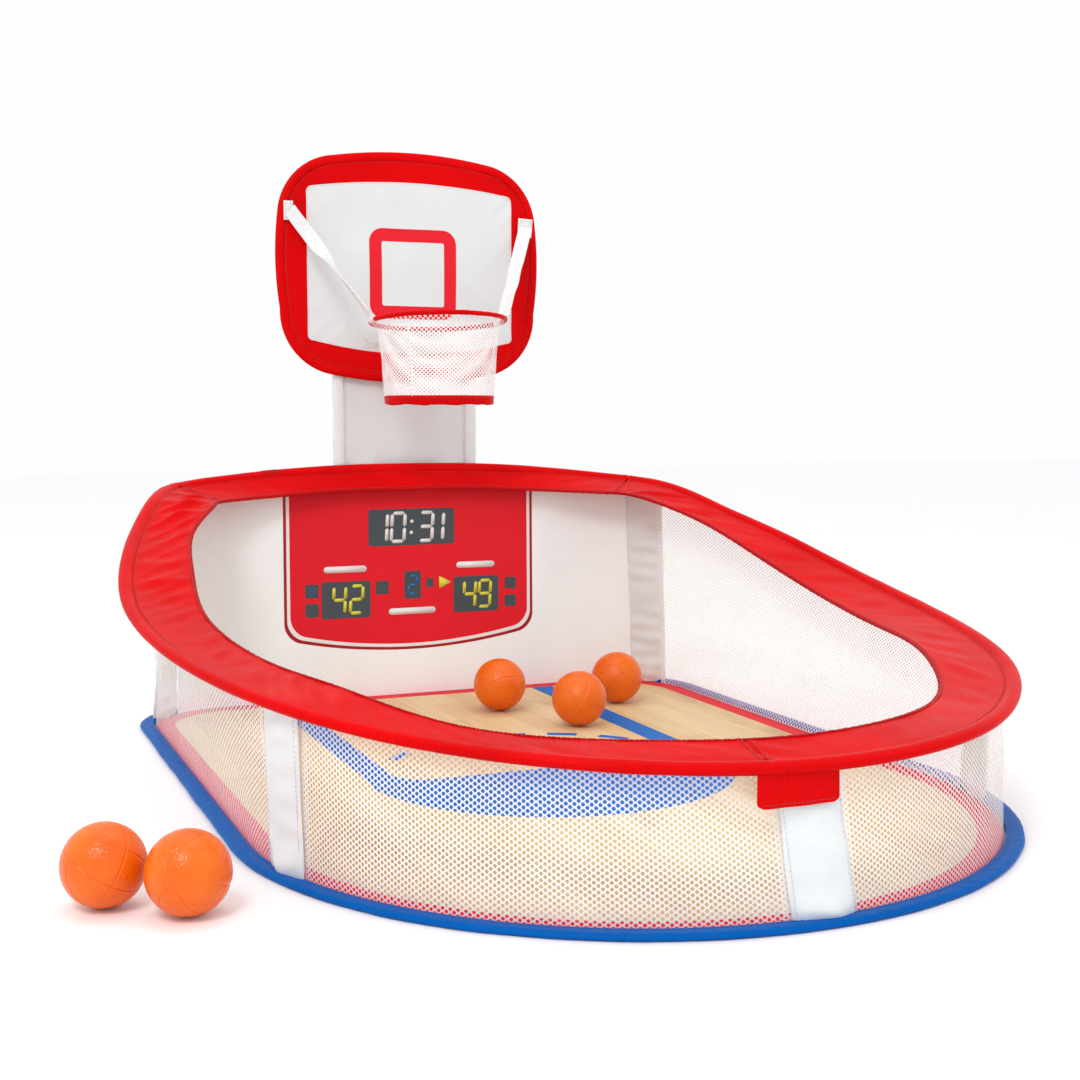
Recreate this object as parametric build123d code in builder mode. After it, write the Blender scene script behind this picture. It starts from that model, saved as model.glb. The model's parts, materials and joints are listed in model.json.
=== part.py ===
from build123d import *
import os
import math
import numpy as np

os.makedirs("parts", exist_ok=True)

# ---------------------------------------------------------------------------
# Pop-up play court with a backboard: a tilted spring hoop on fabric and mesh
# walls, a printed floor, and a tower that carries a small rim and net.
# Millimetres. +Z up, back wall towards +Y, front towards -Y, floor at Z = 0.
# ---------------------------------------------------------------------------

# floor plan: straight sides, rounded rear corners, half-round front
half_width = 378.0          # wall line, from the middle plane
rear_y = 520.0              # wall line at the back
corner_r = 110.0            # wall line, rear corners
nose_y = -163.0             # centre of the half-round front
mat_t = 1.6                 # floor mat thickness
print_t = 0.3               # printed lines on the mat
border_w = 24.0             # red border band on the mat, starting 1.2 inside the wall line
binding_w = 18.0            # blue binding, outside the wall line
lane_x = (174.0, 206.0)     # lane stripes, inner and outer edge
throw_y = 20.0              # free-throw line
throw_r = 210.0             # half disc in front of it
binding_h = 6.0
base_wire = (2.0, 2.8)      # flat spring wire, width x height

# walls
wall_t = 1.5
wall_off = 1.0              # middle of the wall, outside the wall line
wall_foot_z = 6.1
sleeve_w = 50.0             # pole sleeves in the walls
sleeve_half_t = 6.0
sleeve_gap = 25.6           # sleeve centre to the edge of the panel beside it
pole_r = 3.5
cap_r = 4.0

# top ring: outer and inner edges, rear centre -> right side -> front centre
ring_outer_half = [(0, 535, 330), (155, 536, 326), (306, 530, 310), (373, 440, 297),
                   (411, 337, 266), (439, 230, 237), (456, 82, 200), (435, -118, 172),
                   (376, -299, 154), (282, -431, 141), (154, -525, 133), (0, -554, 128)]
ring_inner_half = [(0, 498, 296), (137, 499, 293), (264, 465, 287), (301, 403, 283),
                   (343, 312, 257), (363, 201, 222), (371, 68, 185), (347, -104, 164),
                   (309, -240, 158), (241, -366, 142), (131, -459, 140), (0, -490, 139)]
flange_t = 2.4
ring_sleeve_r = 8.0         # sleeve around the spring wire, half its width
ring_sleeve_h = 6.5         # half its height
seam_rear_left = 22 - 2.35  # flange seams, as places along the ring
seam_rear_right = 2.35
seam_front = 11.33

# tower behind the back wall
tower_y = 545.0
tower_sleeve_x = 98.0
tower_sleeve_rx, tower_sleeve_ry = 8.8, 5.2
tower_pole_r = 3.5
tower_top = 560.0
tower_foot = 0.3

# backboard
board_x = 6.0               # the board sits a little right of the middle plane
board_front = 531.6
board_edge_t = 8.0
board_fabric_front = 534.4
board_fabric_t = 2.4
white_x = 8.0
target_x = 10.0

# rim and net
rim_c = (5.0, 412.3, 525.5)
rim_tilt = 4.1              # degrees, front edge higher
rim_major, rim_minor = 89.3, 4.0
rim_wire_r = 2.0
rim_hinge = (5.0, 533.0, 516.8)
net_top_r, net_bottom_r, net_t = 84.8, 73.2, 1.3
net_bottom_z = 425.0
hem_h = 10.8

# balls
ball_r = 35.0
mat_ball_z = mat_t + print_t + 0.3 + ball_r
balls = {"ball_1": (69.5, 352.8, mat_ball_z), "ball_2": (128.0, 220.3, mat_ball_z),
         "ball_3": (239.8, 342.9, mat_ball_z),
         "ball_4": (-521.6, -282.7, ball_r + 0.2), "ball_5": (-461.4, -329.8, ball_r + 0.2)}


# ---------------------------------------------------------------------------
# shared geometry
# ---------------------------------------------------------------------------
def unit(v):
    v = np.asarray(v, float)
    return v / np.linalg.norm(v)


def closed_curve(half):
    """Smooth closed curve through a half outline and its mirror image."""
    pts = list(half) + [(-x, y, z) for x, y, z in half[-2:0:-1]]
    P = np.array(pts, float)
    n = len(P)
    A = 4 * np.eye(n) + np.roll(np.eye(n), 1, 0) + np.roll(np.eye(n), -1, 0)
    M = np.linalg.solve(A, 3 * (np.roll(P, -1, 0) - np.roll(P, 1, 0)))

    def at(t):
        i = int(math.floor(t))
        s = t - i
        a, b = i % n, (i + 1) % n
        return ((2 * s**3 - 3 * s**2 + 1) * P[a] + (s**3 - 2 * s**2 + s) * M[a]
                + (-2 * s**3 + 3 * s**2) * P[b] + (s**3 - s**2) * M[b])

    return at


ring_outer = closed_curve(ring_outer_half)
ring_inner = closed_curve(ring_inner_half)


def ring_frame(t):
    """Outer point, inner point, inward direction and upward normal at t."""
    o, i = ring_outer(t), ring_inner(t)
    tangent = unit(ring_outer(t + 0.02) - ring_outer(t - 0.02))
    e = unit(i - o)
    u = unit(np.cross(tangent, e))
    if u[2] < 0:
        u = -u
    return o, i, e, u


def smooth(x):
    x = min(1.0, max(0.0, x))
    return x * x * (3 - 2 * x)


def wall_top(t):
    """Where the walls meet the underside of the flange."""
    o, i, e, u = ring_frame(t)
    p = o + e * 20.0 - u * 5.2
    if p[1] > 400:
        w = 1 - smooth((abs(p[0]) - 210) / 80)
        p[1] = w * (rear_y + wall_off) + (1 - w) * p[1]
    return p


side_len = rear_y - corner_r - nose_y
s_corner = half_width - corner_r
s_side = s_corner + corner_r * math.pi / 2
s_nose = s_side + side_len
s_front = s_nose + half_width * math.pi / 2
s_total = 2 * s_front


def plan_point(s, d=0.0):
    """Point of the floor plan at distance s from the rear centre, offset d, and its normal."""
    s = s % s_total
    mirror = s > s_front
    if mirror:
        s = s_total - s
    if s <= s_corner:
        p, n = (s, rear_y), (0.0, 1.0)
    elif s <= s_side:
        a = math.pi / 2 - (s - s_corner) / corner_r
        n = (math.cos(a), math.sin(a))
        p = (s_corner + corner_r * n[0], rear_y - corner_r + corner_r * n[1])
    elif s <= s_nose:
        p, n = (half_width, rear_y - corner_r - (s - s_side)), (1.0, 0.0)
    else:
        a = -(s - s_nose) / half_width
        n = (math.cos(a), math.sin(a))
        p = (half_width * n[0], nose_y + half_width * n[1])
    k = -1 if mirror else 1
    return np.array([k * (p[0] + d * n[0]), p[1] + d * n[1]]), np.array([k * n[0], n[1]])


def nearest_s(p):
    """Distance along the floor plan of the place nearest to p."""
    x, y = abs(p[0]), p[1]
    if x <= s_corner and y > 0:
        s = x
    elif y > rear_y - corner_r:
        s = s_corner + corner_r * (math.pi / 2 - math.atan2(y - (rear_y - corner_r), x - s_corner))
    elif y > nose_y:
        s = s_side + (rear_y - corner_r - y)
    else:
        s = s_nose + half_width * math.atan2(nose_y - y, x)
    return s if p[0] >= 0 else s_total - s


def ring_place(s_target, lo, hi):
    """Place along the ring above distance s_target of the floor plan."""
    for _ in range(60):
        mid = (lo + hi) / 2
        if nearest_s(wall_top(mid)) < s_target:
            lo = mid
        else:
            hi = mid
    return (lo + hi) / 2


def step_top(t, dist):
    """Place along the ring at a horizontal distance from place t, either way."""
    p = wall_top(t)
    k = 0.004 if dist > 0 else -0.004
    q = t
    while np.linalg.norm((wall_top(q) - p)[:2]) < abs(dist):
        q += k
    return q


def section_plane(origin, x_dir, other):
    z = unit(np.cross(x_dir, other))
    return Plane(origin=tuple(origin), x_dir=tuple(unit(x_dir)), z_dir=tuple(z))


def u_outline(d):
    """Floor plan outline, offset outwards by d."""
    w, yb, r, c = half_width + d, rear_y + d, corner_r + d, s_corner
    yc = rear_y - corner_r
    h = math.sqrt(0.5)
    with BuildLine() as outline:
        Line((-c, yb), (c, yb))
        ThreePointArc((c, yb), (c + r * h, yc + r * h), (w, yc))
        Line((w, yc), (w, nose_y))
        ThreePointArc((w, nose_y), (0, nose_y - w), (-w, nose_y))
        Line((-w, nose_y), (-w, yc))
        ThreePointArc((-w, yc), (-c - r * h, yc + r * h), (-c, yb))
    return outline.edges()


def stations(a, b):
    """Places along the ring from a to b, closer together at the rear corners."""
    out = [a]
    t = a
    while True:
        m = t % 22
        m = min(m, 22 - m)
        t = t + (0.25 if 1.4 < m < 4.0 else 0.5)
        if t >= b - 0.12:
            break
        out.append(t)
    out.append(b)
    return out


def keep(part, name):
    part.label = name
    export_step(part, f"parts/{name}.step")


# ---------------------------------------------------------------------------
# floor
# ---------------------------------------------------------------------------
with BuildPart() as floor_mat:
    with BuildSketch(Plane.XY):
        make_face(u_outline(-1.0))
    extrude(amount=mat_t)
keep(floor_mat.part, "floor_mat")

# red band round the mat, just inside the walls
with BuildPart() as mat_border:
    with BuildSketch(Plane.XY.offset(mat_t)):
        make_face(u_outline(-1.2))
        make_face(u_outline(-1.2 - border_w), mode=Mode.SUBTRACT)
    extrude(amount=print_t)
keep(mat_border.part, "mat_border")

# painted lane: two stripes, the filled half disc at their front end, and a dashed arc behind it
lane_back = rear_y - 1.4 - border_w
dash_r = (177.0, 190.0)
dashes = [(a, b) for a, b in ((35, 47), (56, 67.5), (76, 88))]
dashes += [(180 - b, 180 - a) for a, b in dashes]


def on_circle(r, deg):
    return (r * math.cos(math.radians(deg)), throw_y + r * math.sin(math.radians(deg)))


with BuildPart() as lane_print:
    with BuildSketch(Plane.XY.offset(mat_t)):
        x0, x1 = lane_x
        with Locations(((x0 + x1) / 2, (throw_y + lane_back) / 2), (-(x0 + x1) / 2, (throw_y + lane_back) / 2)):
            Rectangle(x1 - x0, lane_back - throw_y)
        with BuildLine():
            ThreePointArc((-throw_r, throw_y), (0, throw_y - throw_r), (throw_r, throw_y))
            Line((throw_r, throw_y), (-throw_r, throw_y))
        make_face()
        for a, b in dashes:
            m = (a + b) / 2
            with BuildLine():
                ThreePointArc(on_circle(dash_r[0], a), on_circle(dash_r[0], m), on_circle(dash_r[0], b))
                Line(on_circle(dash_r[0], b), on_circle(dash_r[1], b))
                ThreePointArc(on_circle(dash_r[1], b), on_circle(dash_r[1], m), on_circle(dash_r[1], a))
                Line(on_circle(dash_r[1], a), on_circle(dash_r[0], a))
            make_face()
    extrude(amount=print_t)
keep(lane_print.part, "lane_print")

# blue binding round the floor, folded over a flat spring wire
with BuildPart() as base_binding:
    with BuildSketch(Plane.XY):
        make_face(u_outline(binding_w))
        make_face(u_outline(-0.8), mode=Mode.SUBTRACT)
    extrude(amount=binding_h)
    with BuildSketch(Plane.XY.offset(1.4)):
        make_face(u_outline(binding_w - 4.6))
        make_face(u_outline(binding_w - 7.4), mode=Mode.SUBTRACT)
    extrude(amount=3.2, mode=Mode.SUBTRACT)
keep(base_binding.part, "base_binding")

with BuildPart() as base_hoop:
    with BuildSketch(Plane.XY.offset(1.6)):
        make_face(u_outline(binding_w - 5.0))
        make_face(u_outline(binding_w - 5.0 - base_wire[0]), mode=Mode.SUBTRACT)
    extrude(amount=base_wire[1])
keep(base_hoop.part, "base_hoop")


# ---------------------------------------------------------------------------
# pole sleeves, poles and their caps
# ---------------------------------------------------------------------------
s_rear_pole = s_corner + corner_r * math.pi / 2 * 0.58
s_side_pole = s_nose + half_width * math.asin(100.0 / half_width)
t_rear = ring_place(s_rear_pole, 1.5, 4.0)
t_side = ring_place(s_side_pole, 6.5, 9.0)
pole_places = {"rear_right": (s_rear_pole, t_rear), "right": (s_side_pole, t_side),
               "front": (s_front, 11.0), "left": (s_total - s_side_pole, 22 - t_side),
               "rear_left": (s_total - s_rear_pole, 22 - t_rear)}
lens = [(-25, 0), (-15, -4.6), (0, -sleeve_half_t), (15, -4.6), (25, 0),
        (15, 4.6), (0, sleeve_half_t), (-15, 4.6)]
lens_hole = [(-9, -2.2), (-4.5, -4.6), (4.5, -4.6), (9, -2.2),
             (9, 2.2), (4.5, 4.6), (-4.5, 4.6), (-9, 2.2)]
poles = {}
for place, (s, t) in pole_places.items():
    base, n = plan_point(s, wall_off)
    top = wall_top(t)
    foot = np.array([base[0], base[1], wall_foot_z])
    head = np.array([top[0], top[1], top[2] - 9.0])
    along = np.array([-n[1], n[0], 0.0])
    poles[place] = (foot, head, n)
    with BuildPart() as pole_sleeve:
        for p in (foot, head):
            with BuildSketch(Plane(origin=tuple(p), x_dir=tuple(along), z_dir=(0, 0, 1))):
                with BuildLine():
                    Polyline(*lens, close=True)
                make_face()
                with BuildLine(mode=Mode.PRIVATE) as cut:
                    Polyline(*lens_hole, close=True)
                make_face(cut.edges(), mode=Mode.SUBTRACT)
        loft(ruled=True)
    keep(pole_sleeve.part, f"pole_sleeve_{place}")

    d = unit(head - foot)
    start, end = foot + d * 3.0, head - d * 1.0
    with BuildPart(Plane(origin=tuple(start), z_dir=tuple(d))) as wall_pole:
        Cylinder(pole_r, float(np.linalg.norm(end - start)),
                 align=(Align.CENTER, Align.CENTER, Align.MIN))
    keep(wall_pole.part, f"wall_pole_{place}")

# rubber caps on the lower ends of the wall poles
with BuildPart() as pole_caps:
    for foot, head, n in poles.values():
        d = unit(head - foot)
        with Locations(Plane(origin=tuple(foot + d * 0.9), z_dir=tuple(d))):
            Cylinder(cap_r, 16.0, align=(Align.CENTER, Align.CENTER, Align.MIN))
        with Locations(Plane(origin=tuple(foot + d * 3.0), z_dir=tuple(d))):
            Cylinder(pole_r + 0.08, 20.0, align=(Align.CENTER, Align.CENTER, Align.MIN),
                     mode=Mode.SUBTRACT)
keep(pole_caps.part, "pole_caps")


# ---------------------------------------------------------------------------
# wall panels between the sleeves
# ---------------------------------------------------------------------------
def wall_panel(a, b, count, name):
    """Panel from the sleeve at place a to the sleeve at place b, the way s grows."""
    (sa, ta), (sb, tb) = a, b
    t0, t1 = step_top(ta, sleeve_gap), step_top(tb, -sleeve_gap)
    s0, s1 = sa + sleeve_gap, sb - sleeve_gap
    turn = s_total if s0 < 0 else 0.0
    def on(t):
        s = nearest_s(wall_top(t))
        return s - turn if turn and s > s_front else s
    c0, c1 = s0 - on(t0), s1 - on(t1)
    with BuildPart() as panel:
        for k in range(count + 1):
            f = k / count
            t = t0 + (t1 - t0) * f
            s = on(t) + c0 * (1 - f) ** 3 + c1 * f ** 3
            base, n = plan_point(s, wall_off)
            top = wall_top(t)
            low = np.array([base[0], base[1], wall_foot_z])
            n3 = np.array([n[0], n[1], 0.0])
            pl = section_plane(low, n3, top - low)
            pts = [low - n3 * wall_t / 2, low + n3 * wall_t / 2,
                   top + n3 * wall_t / 2, top - n3 * wall_t / 2]
            local = [pl.to_local_coords(Vector(*q)) for q in pts]
            with BuildSketch(pl):
                with BuildLine():
                    Polyline(*[(q.X, q.Y) for q in local], close=True)
                make_face()
        loft(ruled=True)
    keep(panel.part, name)


rr, r_, fr, l_, rl = (pole_places[k] for k in ("rear_right", "right", "front", "left", "rear_left"))
wall_panel((rl[0] - s_total, rl[1] - 22), rr, 10, "back_wall")
wall_panel(rr, r_, 12, "side_mesh_right")
wall_panel(r_, fr, 10, "front_mesh_right")
wall_panel(fr, l_, 10, "front_mesh_left")
wall_panel(l_, rl, 12, "side_mesh_left")

# printed scoreboard sewn to the inside of the back wall
board_face = rear_y + wall_off - wall_t / 2
with BuildPart() as scoreboard_panel:
    with BuildSketch(Plane.XZ.offset(-(board_face - 0.1))):
        with BuildLine():
            Polyline((-185, 88), (-185, 296), (185, 296), (185, 88))
            ThreePointArc((185, 88), (0, 66), (-185, 88))
        make_face()
    extrude(amount=0.7)
keep(scoreboard_panel.part, "scoreboard_panel")

# dark display windows of the scoreboard: clock, two scores, period
with BuildPart() as scoreboard_displays:
    with BuildSketch(Plane.XZ.offset(-(board_face - 0.85))):
        for x, z, w, h in ((0, 241, 128, 52), (-100, 134, 76, 52), (100, 134, 76, 52), (0, 147, 26, 36)):
            with Locations((x, z)):
                RectangleRounded(w, h, 3)
    extrude(amount=0.4)
keep(scoreboard_displays.part, "scoreboard_displays")


# ---------------------------------------------------------------------------
# top ring: flange in three pieces, spring wire, bound inner edge
# ---------------------------------------------------------------------------
def ring_section(t, outline):
    """Section plane at t, and an outline drawn in it (inwards, upwards)."""
    o, i, e, u = ring_frame(t)
    pl = section_plane(o, e, u)
    k = 1.0 if np.dot(np.array([pl.y_dir.X, pl.y_dir.Y, pl.y_dir.Z]), u) > 0 else -1.0
    return pl, [(a, k * b) for a, b in outline]


def flange_points(t):
    o, i, e, u = ring_frame(t)
    w = float(np.linalg.norm(i - o)) - 2.2
    r, h, f = ring_sleeve_r, ring_sleeve_h, flange_t / 2
    return [(0, -3), (3.5, -h), (12.5, -h), (15.5, -f), (w, -f),
            (w, f), (15.5, f), (12.5, h), (3.5, h), (0, 3)]


sleeve_hole = [(5.2, -2.6), (10.8, -2.6), (10.8, 2.6), (5.2, 2.6)]


def ring_loft(a, b, name, spans=1):
    """Flange piece from place a to place b, lofted in one or more spans that meet."""
    places = stations(a, b)
    step = math.ceil((len(places) - 1) / spans)
    with BuildPart() as piece:
        for first in range(0, len(places) - 1, step):
            for t in places[first:first + step + 1]:
                pl, outline = ring_section(t, flange_points(t))
                hole = ring_section(t, sleeve_hole)[1]
                with BuildSketch(pl):
                    with BuildLine():
                        Polyline(*outline, close=True)
                    make_face()
                    with BuildLine(mode=Mode.PRIVATE) as cut:
                        Polyline(*hole, close=True)
                    make_face(cut.edges(), mode=Mode.SUBTRACT)
            loft(ruled=True)
    keep(piece.part, name)


ring_loft(seam_rear_left - 22, seam_rear_right, "flange_back")
ring_loft(seam_rear_right, seam_front, "flange_right", spans=2)
ring_loft(seam_front, seam_rear_left, "flange_left")


ring_spans = []
for places in (stations(seam_rear_left - 22, seam_rear_right),
               stations(seam_rear_right, seam_front), stations(seam_front, seam_rear_left)):
    ring_spans += [places[k:k + 7] for k in range(0, len(places) - 1, 6)]


def closed_ring(points, name):
    """A strip that runs all the way round the ring."""
    with BuildPart() as loop:
        for span in ring_spans:
            for t in span:
                pl, outline = ring_section(t, points(t))
                with BuildSketch(pl):
                    with BuildLine():
                        Polyline(*outline, close=True)
                    make_face()
            loft(ruled=True)
    keep(loop.part, name)


wire = [(7.2, -2.0), (8.8, -2.0), (8.8, 2.0), (7.2, 2.0)]
closed_ring(lambda t: wire, "top_hoop")


def binding_points(t):
    o, i, e, u = ring_frame(t)
    w = float(np.linalg.norm(i - o))
    return [(w - 2.1, -1.6), (w - 0.6, -2.2), (w + 1.4, -1.2), (w + 1.4, 1.2), (w - 0.6, 2.2), (w - 2.1, 1.6)]


closed_ring(binding_points, "flange_binding")


# ---------------------------------------------------------------------------
# tower
# ---------------------------------------------------------------------------
with BuildPart() as tower_panel:
    with BuildSketch(Plane.XY.offset(46.0)):
        with Locations((0, tower_y)):
            Rectangle(2 * (tower_sleeve_x - tower_sleeve_rx) - 0.4, 1.6)
    extrude(amount=tower_top - 46.0)
keep(tower_panel.part, "tower_panel")

for side, x in (("left", -tower_sleeve_x), ("right", tower_sleeve_x)):
    with BuildPart() as tower_sleeve:
        with BuildSketch(Plane.XY.offset(46.0)):
            with Locations((x, tower_y)):
                Ellipse(tower_sleeve_rx, tower_sleeve_ry)
                Circle(4.35, mode=Mode.SUBTRACT)
        extrude(amount=tower_top - 46.0)
    keep(tower_sleeve.part, f"tower_sleeve_{side}")

# two-piece poles with a ferrule at the joint, and the pockets they stand in
pole_joint = 286.0
xs = [(-tower_sleeve_x, tower_y), (tower_sleeve_x, tower_y)]
with BuildPart() as tower_poles_lower:
    with BuildSketch(Plane.XY.offset(tower_foot + 2.2)):
        with Locations(*xs):
            Circle(tower_pole_r)
    extrude(amount=pole_joint - tower_foot - 2.4)
keep(tower_poles_lower.part, "tower_poles_lower")

with BuildPart() as tower_poles_upper:
    with BuildSketch(Plane.XY.offset(pole_joint)):
        with Locations(*xs):
            Circle(tower_pole_r)
    extrude(amount=tower_top - 4.0 - pole_joint)
keep(tower_poles_upper.part, "tower_poles_upper")

with BuildPart() as tower_ferrules:
    with BuildSketch(Plane.XY.offset(pole_joint - 25.0)):
        with Locations(*xs):
            Circle(4.2)
            Circle(tower_pole_r + 0.06, mode=Mode.SUBTRACT)
    extrude(amount=50.0)
keep(tower_ferrules.part, "tower_ferrules")

with BuildPart() as tower_pockets:
    with BuildSketch(Plane.XY.offset(tower_foot)):
        with Locations(*xs):
            Circle(6.6)
    extrude(amount=39.0)
    with BuildSketch(Plane.XY.offset(tower_foot + 2.0)):
        with Locations(*xs):
            Circle(4.4)
    extrude(amount=40.0, mode=Mode.SUBTRACT)
keep(tower_pockets.part, "tower_pockets")

# hook-and-loop tabs that hold the tower against the ring
with BuildPart() as tower_ties:
    with BuildSketch(Plane.XY.offset(318.0)):
        with Locations((-62, 541.1), (62, 541.1)):
            Rectangle(30, 6.0)
    extrude(amount=20.0)
keep(tower_ties.part, "tower_ties")


# ---------------------------------------------------------------------------
# backboard
# ---------------------------------------------------------------------------
def board_outline():
    with BuildLine() as outline:
        ThreePointArc((-112, 759), (0, 768.5), (112, 759))
        ThreePointArc((112, 759), (168, 731), (192, 676))
        ThreePointArc((192, 676), (195.5, 612), (190, 545))
        ThreePointArc((190, 545), (170, 485), (122, 455))
        ThreePointArc((122, 455), (0, 443), (-122, 455))
        ThreePointArc((-122, 455), (-170, 485), (-190, 545))
        ThreePointArc((-190, 545), (-195.5, 612), (-192, 676))
        ThreePointArc((-192, 676), (-168, 731), (-112, 759))
    return outline.edges()


def white_outline():
    with BuildLine() as outline:
        ThreePointArc((-143, 714), (0, 725), (143, 714))
        ThreePointArc((143, 714), (149, 711), (151, 705))
        Line((151, 705), (151, 511))
        ThreePointArc((151, 511), (149.5, 505.5), (144, 503))
        ThreePointArc((144, 503), (0, 486), (-144, 503))
        ThreePointArc((-144, 503), (-149.5, 505.5), (-151, 511))
        Line((-151, 511), (-151, 705))
        ThreePointArc((-151, 705), (-149, 711), (-143, 714))
    return outline.edges()


def board_plane(y, x=board_x):
    """Upright drawing plane at depth y, facing the front."""
    return Plane(origin=(x, y, 0), x_dir=(1, 0, 0), z_dir=(0, -1, 0))


with BuildSketch(Plane.XY) as board_shape:
    make_face(board_outline())
with BuildSketch(Plane.XY) as white_shape:
    make_face(white_outline())

with BuildPart() as board_border:
    with BuildSketch(board_plane(board_fabric_front + board_fabric_t)):
        add(board_shape.sketch)
        with Locations((white_x - board_x, 0)):
            add(white_shape.sketch, mode=Mode.SUBTRACT)
    extrude(amount=board_fabric_t)
    with BuildSketch(board_plane(board_front + board_edge_t)):
        add(board_shape.sketch)
        offset(board_shape.sketch, amount=-13.0, mode=Mode.SUBTRACT)
    extrude(amount=board_edge_t)
    with BuildSketch(board_plane(537.2)):
        offset(board_shape.sketch, amount=-4.8)
        offset(board_shape.sketch, amount=-8.2, mode=Mode.SUBTRACT)
    extrude(amount=3.2, mode=Mode.SUBTRACT)
keep(board_border.part, "board_border")

with BuildPart() as board_hoop:
    with BuildSketch(board_plane(537.0)):
        offset(board_shape.sketch, amount=-5.2)
        offset(board_shape.sketch, amount=-7.8, mode=Mode.SUBTRACT)
    extrude(amount=2.8)
keep(board_hoop.part, "board_hoop")

with BuildPart() as board_panel:
    with BuildSketch(board_plane(536.4, white_x)):
        offset(white_shape.sketch, amount=-0.2)
    extrude(amount=1.6)
keep(board_panel.part, "board_panel")

with BuildPart() as target_square:
    with BuildSketch(board_plane(534.75, target_x)):
        with Locations((0, 598)):
            RectangleRounded(128, 126, 20)
            RectangleRounded(92, 90, 3, mode=Mode.SUBTRACT)
    extrude(amount=0.45)
keep(target_square.part, "target_square")

# hook-and-loop pads between the board and the tower
with BuildPart() as board_pads:
    with BuildSketch(Plane.XY.offset(492.0)):
        with Locations((-60, 540.5), (60, 540.5)):
            Rectangle(40, 7.2)
    extrude(amount=30.0)
keep(board_pads.part, "board_pads")


# ---------------------------------------------------------------------------
# rim, net and the tab that the rim folds on
# ---------------------------------------------------------------------------
tilt = math.radians(rim_tilt)
rim_plane = Plane(origin=rim_c, x_dir=(1, 0, 0), z_dir=(0, math.sin(tilt), math.cos(tilt)))

with BuildPart(rim_plane) as rim_sleeve:
    Torus(rim_major, rim_minor)
    Torus(rim_major, rim_wire_r + 0.3, mode=Mode.SUBTRACT)
keep(rim_sleeve.part, "rim_sleeve")

with BuildPart(rim_plane) as rim_hoop:
    Torus(rim_major, rim_wire_r)
keep(rim_hoop.part, "rim_hoop")

tab_back = (rim_hinge[1] + 0.4 - rim_c[1]) / math.cos(tilt)
with BuildPart() as rim_tab:
    with BuildSketch(rim_plane.offset(-0.8)):
        with Locations((0, tab_back / 2)):
            Rectangle(96, tab_back)
        Circle(rim_major + rim_minor + 0.3, mode=Mode.SUBTRACT)
    extrude(amount=1.6)
keep(rim_tab.part, "rim_tab")

hem_c = (5.5, 411.0)
with BuildPart() as net:
    with BuildSketch(rim_plane.offset(1.0)):
        Circle(net_top_r)
        Circle(net_top_r - net_t, mode=Mode.SUBTRACT)
    with BuildSketch(Plane(origin=(hem_c[0], hem_c[1], net_bottom_z), z_dir=(0, 0, 1))):
        Circle(net_bottom_r)
        Circle(net_bottom_r - net_t, mode=Mode.SUBTRACT)
    loft()
keep(net.part, "net")

with BuildPart() as net_hem:
    with BuildSketch(Plane.XY.offset(net_bottom_z - 0.2 - hem_h)):
        with Locations(hem_c):
            Circle(net_bottom_r + 0.8)
            Circle(net_bottom_r - net_t - 0.5, mode=Mode.SUBTRACT)
    extrude(amount=hem_h)
keep(net_hem.part, "net_hem")


# webbing straps from the board down to the sides of the rim
def strap(top, bottom, w_top, w_bottom, name, width=19.0, thick=1.2):
    top, bottom = np.array(top, float), np.array(bottom, float)
    d = unit(bottom - top)
    with BuildPart() as band:
        for f in (0.0, 0.25, 0.5, 0.75, 1.0):
            p = top + (bottom - top) * f
            w = unit(np.array(w_top) * (1 - f) + np.array(w_bottom) * f)
            w = unit(w - np.dot(w, d) * d)
            with BuildSketch(Plane(origin=tuple(p), x_dir=tuple(w), z_dir=tuple(d))):
                Rectangle(width, thick)
        loft(ruled=True)
    keep(band.part, name)


strap((-168, 526, 678), (-91.5, 414, 533.5), (0.05, 0.1, 1.0), (0.1, 1.0, -0.1), "strap_left")
strap((178, 526, 670), (101.0, 418, 533.5), (1.0, -0.25, 0.1), (0.5, -0.8, 0.0), "strap_right")


# ---------------------------------------------------------------------------
# plain sewn tag at the front
# ---------------------------------------------------------------------------
with BuildPart() as front_tag:
    with BuildSketch(Plane(origin=(-30, -546.5, 0), x_dir=(1, 0, 0), z_dir=(0, -1, 0))):
        with Locations((0, 107)):
            RectangleRounded(76, 28, 4)
    extrude(amount=1.2)
keep(front_tag.part, "front_tag")


# ---------------------------------------------------------------------------
# balls
# ---------------------------------------------------------------------------
for name, pos in balls.items():
    with BuildPart(Plane(origin=pos, z_dir=(0, 0, 1))) as ball:
        Sphere(ball_r)
    keep(ball.part, name)
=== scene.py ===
import json
import math

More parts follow.
